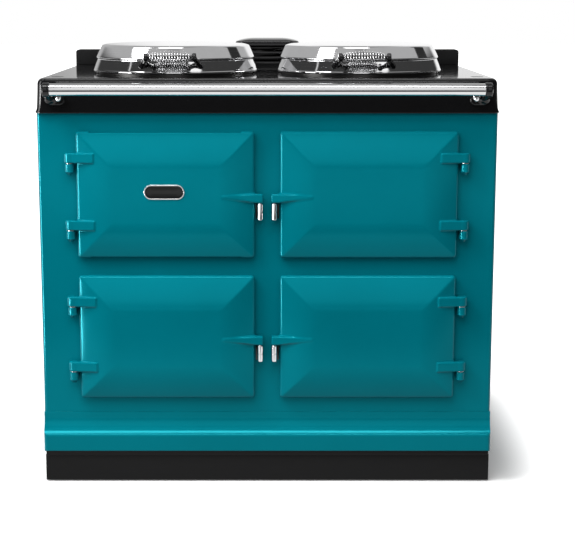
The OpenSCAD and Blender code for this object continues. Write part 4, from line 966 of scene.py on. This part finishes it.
def acorn_distance(x, y, z):
    """Domed nut on an upright stud: flats above, dome below."""
    flats = np.full(np.shape(x), -1e3)
    for k in range(6):
        a = math.radians(60 * k + 8)
        flats = round_max(flats, x * math.cos(a) + y * math.sin(a) - 7.3, 0.5)
    hexagon = round_max(flats, np.abs(z - 4.2) - 4.2, 0.6)
    dome = np.maximum(np.sqrt(x ** 2 + y ** 2 + (z * 0.86) ** 2) - 7.2, z - 1)
    return smooth_min(hexagon, dome, 0.8)


nut = surface_net(acorn_distance, (-9, -9, -9), (9, 9, 9), 0.5)
nut = moved(nut, (442.0, FASCIA_Y - 15.4, 852.0))
add_mesh("bracket_nuts", joined([nut, mirrored(nut)]), "chrome", ("rail_nuts",), fix_normals=False)


# ---------------------------------------------------------------- lids and hotplates

LID_OUTSIDE = [
    (184.6, 896.5), (186.6, 897.2), (187.0, 899.0), (186.7, 900.6), (185.9, 901.7), (185.5, 903.0),
    (181.6, 914.0), (178.0, 923.0), (177.7, 924.8), (178.6, 926.3), (180.0, 927.2), (180.0, 929.0),
    (179.4, 930.4), (174.4, 940.5), (169.6, 950.0),
]


def lid_profile():
    """Lid section: inside from the crown down, round the rolled rim, and over the outside to the crown."""
    inner = [(r - 2.0 if r > 100 else r, min(z - 1.8, 948.5)) for r, z in LID_OUTSIDE[2:]]
    inner += [(163.0, 953.2), (150, 955.4), (0, 959.0)]
    rolled = [(183.4, 900.2), (182.2, 898.8), (182.6, 896.9)]
    shoulder = rounded_path([(169.6, 950.0), (167.2, 954.6), (158.5, 957.2), (140, 958.4)],
                            [0, 5.0, 14.0, 0], 7, 0.2)
    crown = [(r, 958.4 + 3.6 * (1 - (r / 140.0) ** 2)) for r in np.linspace(132, 0, 14)]
    return [*reversed(inner), *rolled, *LID_OUTSIDE, *shoulder[1:], *crown]


def coil_mesh(x):
    """The spring of bright wire round a lid's rod, fuller in its middle."""
    half = COIL_LEN / 2 - 2.0
    turns, per_turn = 15, 26
    path = []
    for i in range(turns * per_turn + 1):
        t = i / (turns * per_turn)
        along = -half + 2 * half * t
        radius = 6.6 + 5.4 * math.cos(math.pi / 2 * along / half)
        a = 2 * math.pi * turns * t
        path.append((x + along, ROD_Y + radius * math.cos(a), ROD_Z + radius * math.sin(a)))
    return sweep_tube(path, 1.5, 10)


def lid_bracket_distance(x, y, z):
    """Outer bracket of a lid's handle; x is measured from the coil's end, outward."""
    boss = cylinder_distance(x - 5.0, y - ROD_Y, z - ROD_Z, 4.6, 8.5, 1.8)
    neck = tapered_distance(x, y, z, (5, ROD_Y + 4, ROD_Z - 3), (11, -260, 922), 5.2, 6.0)
    foot = tapered_distance(x, y, z, (11, -260, 922), (17, -252, 914), 6.0, 6.5)
    shape = smooth_min(smooth_min(boss, neck, 3.5), foot, 4.0)
    spread_r = np.hypot(x + COIL_LEN / 2, y - LID_Y)
    lid_r = 186.0 - (z - 900.0) * 0.37
    return np.maximum(shape, lid_r - 3.0 - spread_r)


PAN_PROFILE = rounded_path([(0, 898.3), (174, 898.3), (177, 899.4), (183.9, 899.4), (183.9, 901.3),
                            (176, 901.3), (173, 900.2), (0, 900.2)], [0, 2, 2, 0.6, 0.6, 2, 2, 0], 4)
ROD_PROFILE = rounded_path([(0, -56), (3.6, -56), (3.6, 56), (0, 56)], [0, 1, 1, 0], 4)
HOTPLATE_PROFILE = rounded_path([(0, 856.2), (176.6, 856.2), (176.6, HOT_TOP_Z), (0, HOT_TOP_Z)],
                                [0, 1.5, 1.5, 0], 5)
lid_bracket = surface_net(lid_bracket_distance, (-1, -299, 905), (27, -244, 945), 0.8)
for side, sign in SIDES:
    x, body, steel = sign * LID_X, f"{side}_lid", lid_steel[side]
    centre = (x, LID_Y, 0)
    add_mesh(f"{side}_lid_dome", lathe(lid_profile(), centre, segments=160), "polished_steel",
             (f"lid_{side}_shell",), body=body, material=steel, flat_first=True)
    add_mesh(f"{side}_lid_pan", lathe(PAN_PROFILE, centre, segments=128), "polished_steel", body=body,
             material=steel, flat_first=True)
    add_mesh(f"{side}_lid_coil", coil_mesh(x), "chrome", (f"lid_{side}_coil",), body=body)
    right_bracket = moved(lid_bracket, (x + COIL_LEN / 2, 0, 0))
    left_bracket = moved(mirrored(lid_bracket), (x - COIL_LEN / 2, 0, 0))
    rod = lathe(ROD_PROFILE, (x, ROD_Y, ROD_Z), "x", 32)
    add_mesh(f"{side}_lid_handle", joined([right_bracket, left_bracket, rod]), "black_fitting",
             (f"lid_{side}_handle",), fix_normals=False, body=body)
    dress(f"lid_{side}_arm", "black_fitting", 1.0, 3, body)
    add_mesh(f"{side}_hotplate", lathe(HOTPLATE_PROFILE, centre, segments=128), "hotplate_iron",
             ("hotplates",) if side == "left" else (), material=hotplate_iron[side], flat_first=True)
dress("lid_pedestals", "black_fitting", 1.2, 3)


# ---------------------------------------------------------------- oven seals

def seal_mesh(x, z):
    """Three plaited strands pressed flat against the panel round a mouth."""
    corners = [(x + px, z + pz) for px, pz in rect_ring(MOUTH_W + 10, MOUTH_H + 10, 8, 8)]
    path = []
    for i, (px, pz) in enumerate(corners):
        nx, nz = corners[(i + 1) % len(corners)]
        steps = max(1, int(math.hypot(nx - px, nz - pz) / (2.5)))
        path.extend((px + (nx - px) * k / steps, pz + (nz - pz) * k / steps) for k in range(steps))
    count, turns, sides = len(path), 68, 18
    rings = []
    for i, (px, pz) in enumerate(path):
        nx, nz = path[(i + 1) % count]
        bx, bz = path[i - 1]
        length = math.hypot(nx - bx, nz - bz)
        tx, tz = (nx - bx) / length, (nz - bz) / length
        ring = []
        for k in range(sides):
            a = 2 * math.pi * k / sides
            lobe = 0.9 + 0.1 * math.cos(3 * a - 2 * math.pi * turns * i / count)
            across = 4.9 * lobe * math.cos(a)
            ring.append((px + tz * across, PANEL_Y - 2.05 - 1.95 * lobe * math.sin(a), pz - tx * across))
        rings.append(ring)
    return loft(rings, loop=True)


seals = [seal_mesh(sign * DOOR_X, z) for sign in (-1, 1) for z in (ROW_LOW_Z, ROW_HIGH_Z)]
add_mesh("rope_seals", joined(seals), "seal_rope", ("oven_seals",))


# ---------------------------------------------------------------- controls

KNOB_Z = ROW_HIGH_Z + 12
TRAY_Y = -286.75
for i in (1, 2, 3):
    knob_x = -DOOR_X + (i - 2) * 100
    dress(f"control_knob_{i}", "knob_plastic", 0.8, 3, f"knob_{i}")
    stripe = block(knob_x - 0.7, knob_x + 0.7, PANEL_BACK_Y + 1.7, PANEL_BACK_Y + 2.4,
                   KNOB_Z + 3, KNOB_Z + 12.5)
    add_mesh(f"knob_{i}_pointer", stripe, "knob_plastic", body=f"knob_{i}", material=pointer_white, sharp=30)
    ticks = []
    for k in range(11):
        tick = block(-0.5, 0.5, TRAY_Y - 0.35, TRAY_Y + 0.3, 20.5, 25.5 if k % 5 == 0 else 23.5)
        turn = np.array(Matrix.Rotation(math.radians(27.0 * k), 3, "Y"))
        ticks.append((tick[0] @ turn.T + (knob_x, 0, KNOB_Z), tick[1]))
    add_mesh(f"dial_marks_{i}", joined(ticks), "knob_plastic", material=pointer_white, sharp=30)
dress("isolator_rocker", "knob_plastic", 0.8, 3, "rocker")
tray_spots = [(-DOOR_X + sx * 160, TRAY_Y, ROW_HIGH_Z + sz * 110) for sx in (-1, 1) for sz in (-1, 1)]
add_mesh("control_screws", screws(tray_spots, TO_FRONT), "plain_steel", fix_normals=False, material=pin_steel)


# ---------------------------------------------------------------- floor

def add_floor():
    """A white floor that keeps the cooker's shadow only close by, where a painted glow is faint; glossy rays
    see it as the studio's cards instead.
    """
    mesh = bpy.data.meshes.new("floor")
    mesh.from_pydata([(-30, -30, 0), (30, -30, 0), (30, 30, 0), (-30, 30, 0)], [], [(0, 1, 2, 3)])
    material = bpy.data.materials.new("floor")
    material.use_nodes = True
    mesh.materials.append(material)
    made = bpy.data.objects.new("floor", mesh)
    bpy.context.scene.collection.objects.link(made)
    nodes = Nodes(material.node_tree)
    nodes.tree.nodes.clear()
    rays = nodes.add("ShaderNodeLightPath").outputs
    spot = nodes.split(nodes.add("ShaderNodeNewGeometry").outputs["Position"])
    # Seen directly, it glows with painted light that is faint at the cooker's footprint and turns pure white
    # a little way off, washing out the cooker's cast shadow there
    outside = []
    for name, half in (("X", 0.4915), ("Y", 0.34)):
        beyond = nodes.calc("SUBTRACT", nodes.calc("ABSOLUTE", spot[name]), half)
        outside.append(nodes.calc("POWER", nodes.calc("MAXIMUM", beyond, 0.0), 2.0))
    away = nodes.calc("SQRT", nodes.calc("ADD", *outside))
    painted_floor_glow = nodes.rise(away, 0.03, 0.21, 0.05, 1.0)
    painted_floor_glow = nodes.add("ShaderNodeEmission", {"Color": WHITE, "Strength": painted_floor_glow})
    plain = nodes.add("ShaderNodeBsdfDiffuse", {"Color": WHITE})
    seen = nodes.add("ShaderNodeAddShader", {0: plain.outputs[0], 1: painted_floor_glow.outputs[0]})
    dull = nodes.add("ShaderNodeBsdfDiffuse", {"Color": (0.16, 0.16, 0.16, 1)})
    matt = {0: nodes.seen_directly(rays), 1: dull.outputs[0], 2: seen.outputs[0]}
    matt = nodes.add("ShaderNodeMixShader", matt)
    # Cards on the floor: near, far ahead, and far out on the left for the upright arrises to mirror
    near = nodes.rise(spot["Y"], -1.75, -1.3, 0.05, 0.95)
    far = nodes.calc("MULTIPLY", nodes.rise(spot["Y"], -4.5, -4.1, 0.75, 0.0),
                     nodes.rise(spot["Y"], -7.5, -6.3))
    bearing = nodes.calc("DIVIDE", nodes.calc("ADD", spot["Y"], 0.33), spot["X"])
    left = nodes.calc("MULTIPLY", nodes.rise(bearing, 0.3, 0.38, 0.0, 26.0),
                      nodes.rise(bearing, 0.62, 0.7, 1.0, 0.0))
    left = nodes.calc("MULTIPLY", left, nodes.rise(spot["X"], -1.5, -1.2, 1.0, 0.0))
    glow = nodes.calc("ADD", nodes.calc("ADD", far, near), left)
    cards = nodes.add("ShaderNodeEmission", {"Color": WHITE, "Strength": glow})
    final = {0: rays["Is Glossy Ray"], 1: matt.outputs[0], 2: cards.outputs[0]}
    final = nodes.add("ShaderNodeMixShader", final)
    nodes.add("ShaderNodeOutputMaterial", {"Surface": final.outputs[0]})
    return made


floor = add_floor()


# ---------------------------------------------------------------- world, lamps, camera

world = bpy.data.worlds.new("studio")
bpy.context.scene.world = world
world.use_nodes = True
sky = Nodes(world.node_tree)
sky.tree.nodes.clear()
DEGREES = 57.2958
direction = sky.split(sky.add("ShaderNodeTexCoord").outputs["Generated"])
east, north, up = direction["X"], direction["Y"], direction["Z"]
azimuth = sky.calc("MULTIPLY", sky.calc("ARCTAN2", east, sky.calc("MULTIPLY", north, -1.0)), DEGREES)
aside = sky.calc("ABSOLUTE", azimuth)
height = sky.calc("ARCSINE", sky.calc("MAXIMUM", sky.calc("MINIMUM", up, 1.0), -1.0))
height = sky.calc("MULTIPLY", height, DEGREES)


def window(west_end, east_end, soft_side, low, high, soft):
    """1 inside a span of azimuths and heights in degrees."""
    return sky.calc("MULTIPLY", sky.between(azimuth, west_end, east_end, soft_side),
                    sky.between(height, low, high, soft))


# Glossy rays see an arranged studio: dark walls with a lit sheet ahead, and a canopy above their edge
edge = sky.calc("SUBTRACT", 45.0, sky.calc("MULTIPLY", sky.calc("MULTIPLY", azimuth, azimuth), 0.00155))
over_edge = sky.calc("SUBTRACT", height, edge)
front_sheet = sky.shade(sky.rise(height, -4.0, 9.0), 1.0, 0.05)
front_sheet = sky.shade(sky.between(height, 34.0, 41.5, 1.0), 0.2, front_sheet)
patch = sky.calc("MULTIPLY", sky.between(height, 32.0, 42.0, 1.5), sky.between(azimuth, 24.0, 43.0, 2.0))
walls = sky.shade(patch, 1.1, 0.045)
glow = sky.shade(sky.rise(aside, 9.0, 12.5), walls, front_sheet)
glow = sky.shade(window(-72.0, -69.5, 1.0, 27.0, 35.0, 1.5), 0.7, glow)
canopy = sky.shade(sky.between(height, 46.0, 57.0, 1.5), 0.36, 0.95)
canopy = sky.shade(sky.rise(aside, 9.0, 14.0), 0.46, canopy)
dark_panel = sky.calc("MULTIPLY", sky.between(azimuth, 103.0, 123.0, 1.0),
                      sky.rise(height, 40.0, 44.0, 1.0, 0.0))
canopy = sky.shade(dark_panel, 0.03, canopy)
canopy = sky.shade(window(-78.0, -51.0, 1.5, 40.0, 58.0, 1.5), 7.0, canopy)
canopy = sky.shade(window(-40.0, 20.0, 3.0, 60.0, 72.0, 2.0), 12.0, canopy)
glow = sky.shade(sky.rise(over_edge, -1.5, 1.5), canopy, glow)
behind = sky.shade(sky.rise(east, -0.16, -0.06), 1.0, 0.48)
behind = sky.shade(sky.rise(height, 24.0, 34.0), 0.4, behind)
glow = sky.shade(sky.rise(aside, 138.0, 150.0), behind, glow)
glow = sky.shade(sky.rise(height, 68.0, 80.0), 0.26, glow)
# Other rays are lit softly, most from the west and the front; the camera sees white
rays = sky.add("ShaderNodeLightPath").outputs
soft = sky.calc("SUBTRACT", 0.55, sky.calc("MULTIPLY", east, 0.4))
soft = sky.calc("MAXIMUM", sky.calc("SUBTRACT", soft, sky.calc("MULTIPLY", north, 0.25)), 0.05)
level = sky.shade(rays["Is Glossy Ray"], glow, soft)
level = sky.shade(sky.seen_directly(rays), 1.0, level)
backdrop = sky.add("ShaderNodeBackground", {"Color": WHITE, "Strength": level})
sky.add("ShaderNodeOutputWorld", {"Surface": backdrop.outputs[0]})


def add_lamp(name, azimuth_deg, elevation_deg, distance, size, power, tall=None):
    """A soft lamp that looks at the cooker's middle; azimuth 0 is ahead of it, + to the right."""
    data = bpy.data.lights.new(name, "AREA")
    data.shape = "SQUARE"
    data.size = size
    if tall:
        data.shape = "RECTANGLE"
        data.size_y = tall
    data.energy = power
    lamp = bpy.data.objects.new(name, data)
    bpy.context.scene.collection.objects.link(lamp)
    a, e = math.radians(azimuth_deg), math.radians(elevation_deg)
    reach = Vector((math.sin(a) * math.cos(e), -math.cos(a) * math.cos(e), math.sin(e)))
    lamp.location = Vector((0, -0.3, 0.5)) + reach * distance
    lamp.rotation_euler = (-reach).to_track_quat("-Z", "Y").to_euler()
    return lamp


key = add_lamp("key", -64.0, 50.0, 2.7, 1.1, 50.0)
key.visible_glossy = False
add_lamp("strip", -76.0, 12.0, 2.5, 0.8, 14.0, 1.2)
fill = add_lamp("fill", -8.0, 50.0, 2.0, 1.4, 20.0)
fill.visible_glossy = False

camera_data = bpy.data.cameras.new("camera")
camera_data.lens = 89.2
camera_data.sensor_width = 36.0
camera_data.shift_x = 0.0351
camera_data.shift_y = -0.05
camera = bpy.data.objects.new("camera", camera_data)
bpy.context.scene.collection.objects.link(camera)
camera.location = (0.0, -3.36575, 1.058)
camera.rotation_euler = (math.radians(90 - 9.85), 0, 0)
bpy.context.scene.camera = camera
bpy.context.scene.view_settings.view_transform = "Standard"
